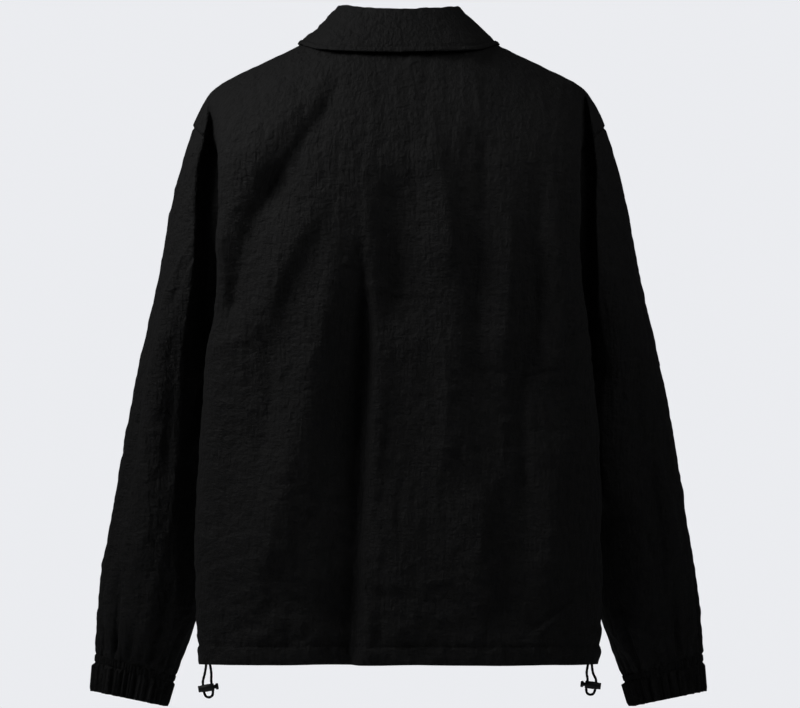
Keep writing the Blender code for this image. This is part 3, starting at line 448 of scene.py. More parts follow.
# Rows of stitches: their distance from a piece's edge, and the size of a stitch
COLLAR_STITCH = 0.0067
ARMHOLE_STITCH = 0.0045
FRONT_EDGE_STITCH = 0.0060
CUFF_STITCHES = (0.0014, 0.0093)
STITCH = 0.0027
STITCH_GAP = 0.0009
STITCH_RADIUS = 0.00030
STITCH_SIDES = 5
STITCH_RINGS = (0.0, 0.25, 0.75, 1.0)
STITCH_LIFT = 0.00022
STITCH_SINK = 0.00006
STITCH_TIP = 0.55

CORD_RINGS = 260
CORD_SIDES = 16
BRAID_TURNS = 620.0
BRAID_STRANDS = 4
BRAID_DEPTH = 0.10

# Press studs, turned: rows of (radius, rise) from the cloth to the dimple in the middle
STUD_TURNING = ((7.0, 0), (7.2, 0.4), (7.2, 0.9), (6.9, 1.4), (6.2, 1.9), (5.0, 2.3), (3.6, 2.4), (2.8, 2.1),
                (1.4, 1.9))
STUD_SEGMENTS = 48
STUD_COUNT = 5
STUD_TOP_HEIGHT = -0.112
STUD_BOTTOM_HEIGHT = -0.640

# Lights, each with its place, size and watts, all aimed at one point
LIGHTS = {
    "key": ((0.82, 0.39, 0.44), 0.5, 4.15),
    "far": ((-0.66, 0.60, 0.36), 0.5, 1.12),
    "front": ((0.62, -8.90, 0.60), 0.3, 160.0),
}
AIM = Vector((0.0, 0.0, -0.30))
BACKDROP = (0.83, 0.84, 0.87, 1.0)
SURROUND = (0.012, 0.012, 0.013, 1.0)
FLOOR_HEIGHT = -1.05
FLOOR_RADIUS = 5.0
FLOOR_SIDES = 96
FLOOR_GRAIN = 6.0
PALE_DARK = (0.82, 0.83, 0.86)
PALE_LIGHT = (0.84, 0.85, 0.88)

# Noises in the materials: a noise that is stretched no way, its detail, and where most of its values lie
EVENLY = (1.0, 1.0, 1.0)
GRAIN_DETAIL = 4.0
NOISE_LOW = 0.3
NOISE_HIGH = 0.7


# Curves and grids
def smooth(at, knots, values):
    """A smooth curve through the knots, which may run either way, held level outside them."""
    order = np.argsort(knots)
    knots, values = np.asarray(knots)[order], np.asarray(values)[order]
    slopes = np.gradient(values, knots, axis=0)
    at = np.clip(at, knots[0], knots[-1])
    i = np.clip(np.searchsorted(knots, at, side="right") - 1, 0, len(knots) - 2)
    shape = np.shape(at) + (1,) * (values.ndim - 1)
    width = np.reshape(knots[i + 1] - knots[i], shape)
    t = np.reshape(at - knots[i], shape) / width
    start = values[i] + t * t * (3 - 2 * t) * (values[i + 1] - values[i])
    return start + width * t * (1 - t) * ((1 - t) * slopes[i] - t * slopes[i + 1])


def read(rows, name, at):
    """A column of a table, smoothed, at values of its first column."""
    return smooth(at, next(iter(rows.values())), rows[name])


def spans(grid, axis):
    """How far along a grid's rows or columns each point is, from the first."""
    steps = np.linalg.norm(np.diff(grid, axis=axis), axis=2)
    return np.concatenate([np.zeros_like(steps.take([0], axis=axis)), np.cumsum(steps, axis=axis)], axis=axis)


def lengths(line):
    """How far along a line each of its points is."""
    return spans(line[:, None], 0)[:, 0]


def evened(line, count):
    """A smooth line through some points, in so many even steps."""
    along = lengths(line)
    return smooth(np.linspace(0, along[-1], count + 1), along, line)


def refined(grid, pitch):
    """The grid smoothed to so many even steps each way."""
    for axis in (0, 1):
        knots = spans(grid, axis).mean(axis=1 - axis)
        at = np.linspace(0, knots[-1], pitch[axis] + 1)
        grid = np.moveaxis(smooth(at, knots, np.moveaxis(grid, axis, 0)), 0, axis)
    return grid


def unit(vectors):
    return vectors / np.maximum(np.linalg.norm(vectors, axis=-1, keepdims=True), 1e-12)


def normals_of(grid, facing, closed=False):
    """Unit normals out of the garment. A closed grid joins on itself at its sides."""
    across = np.gradient(grid, axis=1)
    if closed:
        across[:, 0] = across[:, -1] = (grid[:, 1] - grid[:, -2]) / 2
    return unit(np.cross(across, np.gradient(grid, axis=0)) * facing)


def mirrored(grid):
    """The same grid on the wearer's right, with its columns in the opposite order."""
    return grid[:, ::-1] * (-1.0, 1.0, 1.0)


def full_turn(count):
    return np.linspace(0, math.tau, count, endpoint=False)


def eased(value, width):
    """0 at 0, rising smoothly to 1 at a width."""
    share = np.clip(value / width, 0, 1)
    return share * share * (3 - 2 * share)


def hump(value, width, power=2):
    """1 at 0, falling off to both sides."""
    return np.exp(-(np.abs(value / width) ** power))


# Sections, as in the part
def neck_point(half_width, front):
    """A point of the neck seam on the wearer's left."""
    drop = math.sqrt(max(0.0, 1 - (half_width / NECK_HALF_WIDTH) ** 2))
    depth, low = NECK_FRONT if front else NECK_BACK
    return half_width, depth * drop, NECK_SIDE_HEIGHT + (low - NECK_SIDE_HEIGHT) * drop


def rounded(half_width, depth, squareness, share):
    """The point at a share of the length of a quarter superellipse, from the middle of a panel out."""
    angle = np.linspace(0, math.pi / 2, CURVE_SAMPLES)
    power = 2 / squareness
    arc = np.stack([half_width * np.sin(angle) ** power, depth * np.cos(angle) ** power], axis=1)
    along = lengths(arc)
    return np.array([np.interp(share * along[-1], along, arc[:, k]) for k in (0, 1)])


def place(rows, part, height):
    """The half width and depth of a part of the section at a height."""
    return np.array([read(rows, f"{part}_{size}", height) for size in ("width", "depth")])


def section(height, half_width, past, front):
    """A point of a panel at a height: round the back to its fold, along its return, or round a front."""
    armhole = FRONT_ARMHOLE if front else BACK_ARMHOLE
    seam = place(armhole if height > ARMPIT_HEIGHT else BODY, "seam", height)
    edge = place(BODY, "seam" if front else "edge", height)
    if past and not front:
        return edge + (seam - edge) * (past**2, past)
    depth = read(BODY, "front_depth" if front else "back_depth", height) - edge[1]
    widest = SHOULDER_TIP_HALF_WIDTH if front else FOLD_TOP_HALF_WIDTH
    share = min(1.0, half_width / widest)
    drawn = max(0.0, (share - ARMHOLE_DRAW) / (1 - ARMHOLE_DRAW)) ** 2 if front else 0.0
    point = rounded(edge[0], depth, FRONT_SQUARENESS if front else BACK_SQUARENESS, share)
    return point + (0.0, edge[1]) + drawn * (seam - edge)


def panel_column(half_width, front):
    """One column of a body panel on the wearer's left, from the hem to the top edge."""
    top = neck_point(half_width, front)
    if half_width >= NECK_HALF_WIDTH:
        top = half_width, 0.0, float(read(SHOULDER, "height", half_width))
    past = max(0.0, half_width - FOLD_TOP_HALF_WIDTH) / (SHOULDER_TIP_HALF_WIDTH - FOLD_TOP_HALF_WIDTH)
    crown = CROWN_HEIGHT + (TIP_CROWN_HEIGHT - CROWN_HEIGHT) * past
    power = FRONT_CROWN_ROUNDNESS if front else BACK_CROWN_ROUNDNESS
    rise = 0.5 - 0.5 * np.cos(math.pi * np.arange(1, UPPER_STEPS + 1) / UPPER_STEPS)
    lower = np.linspace(HEM_HEIGHT, ARMPIT_HEIGHT, LOWER_STEPS + 2)
    points = []
    for height in (*lower, *(ARMPIT_HEIGHT + (top[2] - ARMPIT_HEIGHT) * rise)):
        x, y = section(height, half_width, past, front)
        over = min(1.0, max(0.0, 1 + (height - top[2]) / crown))
        reach = (1 - over**power) ** (1 / power)
        points.append((x + (top[0] - x) * over**2, top[1] + (y - top[1]) * reach, height))
    return points


def panel(half_widths, front):
    """Columns of a body panel as a grid, with its rows from the hem up."""
    return np.array([panel_column(half_width, front) for half_width in half_widths]).transpose(1, 0, 2)


def body_grids():
    """The back, and the left front from its free edge past the middle out to its seam."""
    neck = NECK_HALF_WIDTH * np.sin(np.linspace(0, math.pi / 2, NECK_STEPS + 1))
    shoulder = np.linspace(NECK_HALF_WIDTH, FOLD_TOP_HALF_WIDTH, SHOULDER_STEPS + 1)[1:]
    returned = np.linspace(FOLD_TOP_HALF_WIDTH, SHOULDER_TIP_HALF_WIDTH, RETURN_STEPS + 1)[1:]
    widths = np.concatenate([neck, shoulder, returned])
    half = panel(widths, front=False)
    lap = panel(np.linspace(FRONT_LAP, 0, LAP_STEPS + 1)[:-1], front=True) * (-1.0, 1.0, 1.0)
    left = np.concatenate([lap, panel(widths, front=True)], axis=1)
    return np.concatenate([mirrored(half)[:, :-1], half], axis=1), left


def ring(sizes, angle):
    """Points of a ring of a sleeve or cuff: angle 0 is outermost, a quarter turn on is at the back."""
    outer_x, outer_z, inner_x, inner_z, depth, half_depth = sizes
    half = np.cos(angle) / 2
    x = (outer_x + inner_x) / 2 + (outer_x - inner_x) * half
    z = (outer_z + inner_z) / 2 + (outer_z - inner_z) * half
    return np.stack([x, depth + half_depth * np.sin(angle), z], axis=-1)


def sleeve_ring(share, angles):
    """A ring of the sleeve's tube at a share of the way from its head to its cuff."""
    rows = np.array(SLEEVE_RINGS) * MILLI
    return ring(smooth(share, np.linspace(0, 1, len(rows)), rows), angles)


def sleeve_grid(back, left):
    """The left sleeve: rows from the armhole to the cuff, columns round from underarm to underarm."""
    loop = np.concatenate([left[ARMPIT_ROW:, -1], back[ARMPIT_ROW:, -1][-2::-1]])
    half = len(loop) // 2
    up, down = lengths(loop[:half + 1]), lengths(loop[half:])
    angles = np.concatenate([math.pi * up / up[-1] - math.pi, (math.pi * down / down[-1])[1:]])
    over = (1 + np.cos(angles)) / 2
    out, rise = (np.outer(1 - over, HEAD_AT_UNDERARM) + np.outer(over, HEAD_AT_TIP)).T
    leave = unit(np.stack([out, HEAD_TO_SIDES * np.sin(angles), rise], axis=1))
    end = sleeve_ring(0.0, angles)
    arrive = unit(sleeve_ring(HEAD_TURN, angles) - end)
    reach = np.linalg.norm(end - loop, axis=1, keepdims=True)
    rows = []
    for s in np.arange(HEAD_STEPS) / HEAD_STEPS:
        slopes = leave * (s**3 - 2 * s**2 + s) + arrive * (s**3 - s**2)
        rows.append(loop * (2 * s**3 - 3 * s**2 + 1) + end * (3 * s**2 - 2 * s**3) + reach * slopes)
    rows += [sleeve_ring(share, angles) for share in np.linspace(0, 1, TUBE_STEPS + 1)]
    return np.array(rows), angles


# Folds, creases and crinkle
def fold_share(a, b, line, greater, lesser, softness):
    """A fold's share of its rise at some points: all on its line, less aside and at its ends."""
    start, step = line[:-1], np.diff(line, axis=0)
    away = np.stack([a, b], axis=1)[:, None] - start
    along = np.clip((away * step).sum(axis=2) / (step * step).sum(axis=1), 0, 1)
    off = away - along[..., None] * step
    nearest = (off * off).sum(axis=2).argmin(axis=1)
    point = np.arange(len(nearest))
    off, step = off[point, nearest], step[nearest]
    width = np.where(step[:, 0] * off[:, 1] > step[:, 1] * off[:, 0], greater, lesser)
    share = (nearest + along[point, nearest]) / len(start)
    return eased(np.minimum(share, 1 - share), FOLD_END) * hump(np.hypot(*off.T), width, softness)


def fold_rise(a, b, folds):
    """The rise of folds at points with two coordinates, all in metres but the folds."""
    a, b = a / MILLI, b / MILLI
    total = np.zeros_like(a)
    for rise, greater, lesser, softness, *points in folds:
        line = np.array(points, float).reshape(-1, 2)
        if len(line) > 2:
            line = evened(line, FOLD_STEPS * (len(line) - 1))
        reach = FOLD_REACH * max(greater, lesser)
        low, high = line.min(axis=0) - reach, line.max(axis=0) + reach
        near = (a > low[0]) & (a < high[0]) & (b > low[1]) & (b < high[1])
        total[near] += rise * fold_share(a[near], b[near], line, greater, lesser, softness)
    return total * MILLI


def small_creases(a, b, seed, count, lean):
    """The rise of short strewn creases, more of them upright the lower lean is."""
    draw = np.random.default_rng(seed)
    low, high = np.array([(v.min(), v.max()) for v in (a, b)]).T / MILLI
    rows = []
    for _ in range(count):
        middle = draw.uniform(low, high)
        upright = draw.random() > lean
        length = draw.uniform(*(UPRIGHT_LENGTH if upright else LEVEL_LENGTH))
        slant = draw.normal(0, CREASE_SLANT) + (math.pi / 2 if upright else 0)
        half = np.array([math.cos(slant), math.sin(slant)]) * length / 2
        bow = np.array([-half[1], half[0]]) * draw.normal(0, CREASE_BOW)
        width = draw.uniform(*CREASE_HALF_WIDTH)
        rise = draw.uniform(*CREASE_RISE) * draw.choice((-1, 1))
        points = np.ravel([middle - half, middle + bow, middle + half])
        rows.append((rise, width, width, draw.uniform(*CREASE_SHARPNESS), *points))
    return fold_rise(a, b, rows)


def lattice_noise(a, b, layers, seed):
    """Smooth noise on bent lattices, one for each layer."""
    total = 0.0
    for cell_a, cell_b, rise, number in layers:
        own = seed + number
        u, v = a / (cell_a * MILLI), b / (cell_b * MILLI)
        bend_u, bend_v = np.sin(LATTICE_WAVES[0] * v + own), np.sin(LATTICE_WAVES[1] * u + own)
        u, v = u + LATTICE_BEND * bend_u, v + LATTICE_BEND * bend_v
        u, v = u - u.min(), v - v.min()
        lattice = np.random.default_rng(own).uniform(-1, 1, (int(u.max()) + 3, int(v.max()) + 3))
        i, j = u.astype(int), v.astype(int)
        s, t = eased(u - i, 1), eased(v - j, 1)
        low = lattice[i, j] * (1 - s) + lattice[i + 1, j] * s
        high = lattice[i, j + 1] * (1 - s) + lattice[i + 1, j + 1] * s
        total = total + (low * (1 - t) + high * t) * rise * MILLI
    return total


# Meshes
def quads(index):
    """Faces of a grid of point numbers."""
    corners = (index[:-1, :-1], index[:-1, 1:], index[1:, 1:], index[1:, :-1])
    return np.stack([c.ravel() for c in corners], axis=1).tolist()


def looped(index):
    """Point numbers of a grid with the first column again as its last."""
    return np.concatenate([index, index[:, :1]], axis=1)


def tube(rings, sides, start=0):
    """Faces of a tube with closed ends, from its first point's number."""
    index = start + np.arange(rings * sides).reshape(rings, sides)
    return quads(looped(index)) + [index[0, ::-1].tolist(), index[-1].tolist()]


def rim(outer, inner, flip):
    """Faces between a fine edge and the coarse edge behind it."""
    faces = []
    half = INNER_STEP // 2
    for j in range(len(inner) - 1):
        first = j * INNER_STEP
        for i in range(INNER_STEP):
            near = inner[j] if i < half else inner[j + 1]
            faces.append((outer[first + i], near, outer[first + i + 1]))
        faces.append((inner[j], inner[j + 1], outer[first + half]))
    return [face[::-1] for face in faces] if flip else faces


def shell(name, outer, normals, thickness, facing, closed=False):
    """A closed cloth mesh: a fine outside, a coarser inside and the rims between."""
    inner = (outer - normals * np.asarray(thickness)[..., None])[::INNER_STEP, ::INNER_STEP]
    if closed:
        outer, inner = outer[:, :-1], inner[:, :-1]
    index = np.arange(outer[..., 0].size).reshape(outer.shape[:2])
    inside = index.size + np.arange(inner[..., 0].size).reshape(inner.shape[:2])
    edges = [(0, False), (-1, True)]
    if closed:
        index, inside = looped(index), looped(inside)
    faces = quads(index) + [face[::-1] for face in quads(inside)]
    for edge, flip in edges:
        faces += rim(index[edge].tolist(), inside[edge].tolist(), flip)
    if not closed:
        for edge, flip in edges:
            faces += rim(index[:, edge].tolist(), inside[:, edge].tolist(), not flip)
    if facing < 0:
        faces = [face[::-1] for face in faces]
    return mesh_object(name, np.concatenate([outer.reshape(-1, 3), inner.reshape(-1, 3)]), faces)


def placed(name, data):
    obj = bpy.data.objects.new(name, data)
    bpy.context.scene.collection.objects.link(obj)
    return obj


def mesh_object(name, points, faces):
    mesh = bpy.data.meshes.new(name)
    mesh.from_pydata(np.reshape(points, (-1, 3)).tolist(), [], faces)
    mesh.shade_smooth()
    return placed(name, mesh)


def paint(obj, material):
    obj.data.materials.clear()
    obj.data.materials.append(material)


def dress(obj, material, slot, *replaced):
    """Gives a piece its material and its body, and hides the nodes that it stands for."""
    paint(obj, material)
    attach(obj, "root")
    if replaced:
        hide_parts(*replaced)
    return obj


# Stitches
def sampled(at, run, values):
    return np.stack([np.interp(at, run, values[:, k]) for k in range(3)], axis=-1)


def round_tube(centre, side, up, size, turn):
    """Rings of points round a line, each in the plane of two directions."""
    turn = turn[:, None]
    rings = side[..., None, :] * np.cos(turn) + up[..., None, :] * np.sin(turn)
    return centre[..., None, :] + rings * size[..., None]


def stitch_row(grid, normals, distance, lowest=-math.inf):
    """A row of stitches at a distance from a grid's first row, above a lowest height."""
    runs = spans(grid, 0)
    line, out = (np.array([sampled(distance, runs[:, c], values[:, c]) for c in range(runs.shape[1])])
                 for values in (grid, normals))
    above = line[:, 2] > lowest
    line, out = line[above], out[above]
    run = lengths(line)
    count = int(run[-1] / (STITCH + STITCH_GAP))
    rings = np.array(STITCH_RINGS)
    at = np.arange(count)[:, None] * run[-1] / count + rings * STITCH
    centre, up = sampled(at, run, line), unit(sampled(at, run, out))
    side = np.cross(up, unit(centre[:, -1] - centre[:, 0])[:, None])
    arch = np.sin(math.pi * rings)[:, None]
    size = STITCH_RADIUS * (STITCH_TIP + (1 - STITCH_TIP) * arch)
    turn = full_turn(STITCH_SIDES)
    return round_tube(centre + up * (STITCH_LIFT * arch - STITCH_SINK), side, up, size, turn)


def sew(name, piece, thread):
    """The rows of stitches that show on a piece."""
    whole = piece["grid"], piece["normals"]
    near = [values.transpose(1, 0, 2) for values in whole]
    far = [values[::-1] for values in near]
    slot = CLOTH_SLOT
    if name == "collar":
        rows = [stitch_row(*(values[::-1] for values in whole), COLLAR_STITCH)]
    elif name.startswith("cuff"):
        rows = [stitch_row(*whole, distance) for distance in CUFF_STITCHES]
        slot = CASING_SLOT
    else:
        rows = [stitch_row(*whole, HEM_CASING)]
        if name != "front_left":
            rows.append(stitch_row(*near, ARMHOLE_STITCH, ARMPIT_HEIGHT))
        if name != "front_right":
            rows.append(stitch_row(*far, ARMHOLE_STITCH, ARMPIT_HEIGHT))
        if name == "front_left":
            rows.append(stitch_row(*near, FRONT_EDGE_STITCH))
    stitches = np.concatenate(rows)
    rings, sides = stitches.shape[1:3]
    faces = []
    for number in range(len(stitches)):
        faces += tube(rings, sides, number * rings * sides)
    return dress(mesh_object(f"stitches_{name}", stitches, faces), thread, slot)


# Materials
def link(value, socket):
    socket.id_data.links.new(value, socket)


def node(tree, kind, **values):
    made = tree.nodes.new(kind)
    for key, value in values.items():
        made.inputs[key].default_value = value
    return made


def noise_at(tree, stretch, scale, detail, roughness=0.5):
    """A noise in the object's metres, stretched along an axis where its factor is small."""
    mapping = node(tree, "ShaderNodeMapping", Scale=stretch)
    link(tree.nodes.new("ShaderNodeTexCoord").outputs["Object"], mapping.inputs["Vector"])
    noise = node(tree, "ShaderNodeTexNoise", Scale=scale, Detail=detail, Roughness=roughness)
    link(mapping.outputs["Vector"], noise.inputs["Vector"])
    return noise.outputs["Fac"]


def ramp(tree, value, dark, light):
    made = tree.nodes.new("ShaderNodeValToRGB")
    for element, at, colour in zip(made.color_ramp.elements, (NOISE_LOW, NOISE_HIGH), (dark, light)):
        element.position = at
        element.color = (*colour, 1.0)
    link(value, made.inputs["Fac"])
    return made.outputs["Color"]


def spread(tree, value, low, high):
    ends = {"From Min": NOISE_LOW, "From Max": NOISE_HIGH, "To Min": low, "To Max": high}
    made = node(tree, "ShaderNodeMapRange", **ends)
    link(value, made.inputs["Value"])
    return made.outputs["Result"]


def bumps(tree, *layers):
    """A normal from layers of (value, height in metres, strength), one on the other."""
    normal = None
    for value, height, strength in layers:
        made = node(tree, "ShaderNodeBump", Strength=strength, Distance=height)
        link(value, made.inputs["Height"])
        if normal is not None:
            link(normal, made.inputs["Normal"])
        normal = made.outputs["Normal"]
    return normal


def new_material(name, sockets):
    """A material and its nodes, with the sockets that are the same all over."""
    material = bpy.data.materials.new(name)
    material.use_nodes = True
    shader = material.node_tree.nodes["Principled BSDF"]
    for key, value in sockets.items():
        shader.inputs[key].default_value = value
    return material, material.node_tree


def set_surface(tree, colour, gloss, normal):
    """Links what varies over a material to its shader."""
    shader = tree.nodes["Principled BSDF"]
    for key, value in (("Base Color", colour), ("Roughness", gloss), ("Normal", normal)):
        link(value, shader.inputs[key])


def nylon(name, dark, light, roughness):
    """Crinkled nylon: a fine weave, short ripples across it and fainter streaks along it."""
    gloss = {"Specular IOR Level": 0.50, "Sheen Weight": 0.01, "Sheen Roughness": 0.45}
    material, tree = new_material(name, gloss)
    patch = noise_at(tree, (1.0, 1.0, 0.6), 38.0, 5.0, 0.6)
    grain = noise_at(tree, (1.0, 1.0, 0.5), 160.0, GRAIN_DETAIL)
    ripple = noise_at(tree, (0.45, 0.45, 1.0), 250.0, 5.0, 0.65)
    streak = noise_at(tree, (1.0, 1.0, 0.16), 260.0, 3.0, 0.55)
    crumple = noise_at(tree, (1.0, 1.0, 0.8), 110.0, 6.0, 0.6)
    weave = noise_at(tree, EVENLY, 2300.0, 1.0)
    layers = ((weave, 0.0001, 0.3), (streak, 0.003, 1.0), (ripple, 0.003, 1.0), (crumple, 0.0044, 0.9))
    set_surface(tree, ramp(tree, patch, dark, light), spread(tree, grain, *roughness), bumps(tree, *layers))
    return material


def plain_detail(name, dark, light, roughness, scale, height, strength, specular=0.5, metallic=0.0):
    """A plain material: a mottled colour, uneven gloss and a fine grain."""
    material, tree = new_material(name, {"Specular IOR Level": specular, "Metallic": metallic})
    grain = noise_at(tree, EVENLY, scale, GRAIN_DETAIL)
    normal = bumps(tree, (grain, height, strength))
    set_surface(tree, ramp(tree, grain, dark, light), spread(tree, grain, *roughness), normal)
    return material


def set_materials():
    rough = (0.72, 0.84)
    return {
        "cloth": nylon("crinkled_nylon", (0.0042, 0.0042, 0.0043), (0.0068, 0.0068, 0.0070), rough),
        "casing": nylon("gathered_nylon", (0.0040, 0.0040, 0.0041), (0.0062, 0.0062, 0.0064), rough),
        "thread": plain_detail("sewing_thread", (0.008,) * 3, (0.015,) * 3, (0.55, 0.7), 3000.0, 0.0001, 0.3,
                               specular=0.2),
        "braid": plain_detail("braided_elastic", (0.003,) * 3, (0.006,) * 3, (0.65, 0.8), 2600.0, 0.0001, 0.4,
                              specular=0.06),
        "plastic": plain_detail("moulded_plastic", (0.014,) * 3, (0.024,) * 3, (0.40, 0.52), 900.0, 0.00006,
                                0.2),
        "lacquer": plain_detail("stud_lacquer_black", (0.010,) * 3, (0.018, 0.018, 0.019), (0.26, 0.38),
                                700.0, 0.00005, 0.15, metallic=0.4),
    }


# Camera, light and floor
def set_camera():
    """A level camera behind the jacket, framed as in the photograph."""
    data = bpy.data.cameras.new("camera")
    data.sensor_width = SENSOR_WIDTH
    data.lens = SENSOR_WIDTH * CAMERA_DISTANCE / (IMAGE_WIDTH * PIXEL)
    data.clip_end = CLIP_END
    camera = placed("camera", data)
    middle = [(at - size / 2) * PIXEL for at, size in zip(ORIGIN_PIXEL, (IMAGE_WIDTH, IMAGE_HEIGHT))]
    camera.location = (middle[0], CAMERA_DISTANCE, middle[1])
    camera.rotation_euler = (math.pi / 2, 0.0, math.pi)
    bpy.context.scene.camera = camera


def by_ray(tree, lit, seen, surface):
    """One shader for light that falls on things, another for what the camera sees."""
    mix = tree.nodes.new("ShaderNodeMixShader")
    link(tree.nodes.new("ShaderNodeLightPath").outputs["Is Camera Ray"], mix.inputs[0])
    link(lit.outputs[0], mix.inputs[1])
    link(seen.outputs[0], mix.inputs[2])
    link(mix.outputs[0], surface)


def set_studio():
    """Lights, a pale backdrop with softer light from all round, and a floor as pale."""
    for name, (spot, size, watts) in LIGHTS.items():
        data = bpy.data.lights.new(name, "AREA")
        data.shape = "DISK"
        data.size = size
        data.energy = watts
        light = placed(name, data)
        light.location = spot
        light.rotation_euler = (AIM - light.location).to_track_quat("-Z", "Y").to_euler()
    world = bpy.data.worlds.new("studio")
    world.use_nodes = True
    tree = world.node_tree
    tree.nodes.clear()
    lit, seen = (node(tree, "ShaderNodeBackground", Color=colour) for colour in (SURROUND, BACKDROP))
    by_ray(tree, lit, seen, tree.nodes.new("ShaderNodeOutputWorld").inputs["Surface"])
    bpy.context.scene.world = world
    bpy.context.scene.view_settings.view_transform = "Standard"
    turn = full_turn(FLOOR_SIDES)
    edge = [(-FLOOR_RADIUS * math.sin(t), FLOOR_RADIUS * math.cos(t), FLOOR_HEIGHT) for t in turn]
    floor = mesh_object("studio_floor", edge, [list(range(FLOOR_SIDES))])
    pale = plain_detail("pale_floor", PALE_DARK, PALE_LIGHT, (0.75, 0.9), FLOOR_GRAIN, 0.0005, 0.05)
    tree = pale.node_tree
    seen = tree.nodes.new("ShaderNodeEmission")
    grain = noise_at(tree, EVENLY, FLOOR_GRAIN, GRAIN_DETAIL)
    link(ramp(tree, grain, PALE_DARK, PALE_LIGHT), seen.inputs["Color"])
    by_ray(tree, tree.nodes["Principled BSDF"], seen, tree.nodes["Material Output"].inputs["Surface"])
    paint(floor, pale)


# Cords
def cord_route(label):
    """The cord's line, from the casing round its lock's loop and back."""
    spot, tilt = LOCKS[label]
    side = 1 if label == "left" else -1
    facing = Matrix.Rotation(math.pi if side > 0 else 0.0, 4, "Z")
    lock = Matrix.Translation(spot) @ Matrix.Rotation(math.radians(side * tilt), 4, "Y") @ facing
    loop = [tuple(lock @ (Vector(point) * MILLI)) for point in CORD_LOOP]
    down, up = (np.array(points) * (side, 1, 1) * MILLI for points in (CORD_DOWN, CORD_UP))
    return evened(np.concatenate([down, loop, up]), CORD_RINGS)


def build_cord(label, frame, looks):
    """A braided cord as a mesh tube along its route, with the lock that rides on it."""
    line = cord_route(label)
    run = lengths(line)
    ahead = unit(np.gradient(line, axis=0))
    side = unit(np.cross(ahead, (0.0, 1.0, 0.0)))
    turn = full_turn(CORD_SIDES)
    twist, wound = BRAID_STRANDS * turn, BRAID_TURNS * run[:, None]
    braid = np.abs(np.cos(twist + wound) * np.cos(twist - wound))
    radius = CORD_RADIUS * (1 - BRAID_DEPTH + BRAID_DEPTH * braid)
    rings = round_tube(line, side, np.cross(side, ahead), radius, turn)
    cord = mesh_object(f"braided_cord_{label}", rings, tube(*rings.shape[:2]))
    dress(cord, looks["braid"], "elastic_cord", f"hem_cord_{label}")
    pieces = [frame["nodes"][f"lock_{part}_{label}"] for part in ("barrel", "plunger")]
    for piece in pieces:
        paint(piece, looks["plastic"])


# Cloth pieces
def cloth_piece(name, held, grid, normals, thickness, facing, material, slot=CLOTH_SLOT, closed=False):
    """A shell of cloth, with the outer grid and normals that sewing and studs are set on."""
    obj = shell(name + "_cloth", grid, normals, thickness, facing, closed)
    dress(obj, material, slot, name)
    return {"obj": obj, "grid": grid, "normals": normals, "held": held}


def state_cut(piece):
    """Works out a piece's greatest width and length, which are not kept or shown."""
    grid = piece["grid"]
    width = round(float(spans(grid, 1)[:, -1].max()), 3)
    length = round(float(spans(grid, 0)[-1].max()), 3)


def casing_rise(up, across, seed):
    """The hem's casing stands out, with a groove at its stitches and puckers beside it."""
    bulge = CASING_BULGE * np.sin(math.pi * np.clip(up / HEM_CASING, 0, 1)) ** CASING_ROUNDNESS
    groove = CASING_GROOVE * hump(up - HEM_CASING, GROOVE_HALF_WIDTH)
    pucker = lattice_noise(across, up, PUCKER, seed) * hump(up - HEM_CASING, PUCKER_LENGTH, PUCKER_SHARPNESS)
    return bulge - groove + pucker


def body_rise(grid, folds, seams, seed, crease_count):
    """How far each point of a body panel stands out or in."""
    up, over = spans(grid, 0), spans(grid, 1)
    edges = {"left": over, "right": over[:, -1:] - over, "top": up[-1:] - up}
    seam = np.minimum.reduce([edges[name] for name in seams])
    x, z = grid[..., 0], grid[..., 2]
    fine = small_creases(x, z, seed, crease_count, BODY_LEAN) + lattice_noise(x, z, CRINKLE, seed + 1)
    fine += lattice_noise(x, z, HEM_CRUMPLE, seed + 12) * (1 - eased(up - HEM_CASING, CRUMPLE_HEIGHT))
    rise = fold_rise(x, z, folds) * eased(seam, FOLD_FADE) + fine * eased(seam, CREASE_FADE)
    rise += casing_rise(up, over, seed + 9) + SEAM_LIP * hump(seam - SEAM_LIP_AWAY, SEAM_HALF_WIDTH)
    return rise - SEAM_DEPTH * hump(seam, SEAM_HALF_WIDTH)


def under_lap(grid):
    """The right front, let in behind the left one where they overlap."""
    depth = UNDERLAP_DEPTH * eased(UNDERLAP_START + grid[..., 0], UNDERLAP_START - UNDERLAP_FULL)
    return grid - normals_of(grid, FRONT_FACING) * depth[..., None]


def softened(grid, seam):
    """The panel's middle with the ridge below each end of the neck rubbed out."""
    padded = np.pad(grid, ((0, 0), (SOFTEN_REACH, SOFTEN_REACH), (0, 0)), mode="reflect", reflect_type="odd")
    window = np.hanning(2 * SOFTEN_REACH + 3)[1:-1]
    rubbed = sum(w * padded[:, k:k + grid.shape[1]] for k, w in enumerate(window / window.sum()))
    share = eased(seam, SOFTEN_FADE) * (1 - eased(np.abs(grid[..., 0]) - SOFTEN_HALF_WIDTH, SOFTEN_EDGE))
    return grid + (rubbed - grid) * share[..., None]


def crevice_depth(grid, label):
    """How far the cloth beside the back's fold sinks in."""
    height = grid[..., 2]
    depth, floor, wall = (read(CREVICES[label], name, height) for name in ("depth", "floor", "wall"))
    edge = read(BODY, "edge_width", height) + CREVICE_EDGE
    return depth * (1 - eased(np.abs(grid[..., 0]) - edge - floor, wall))


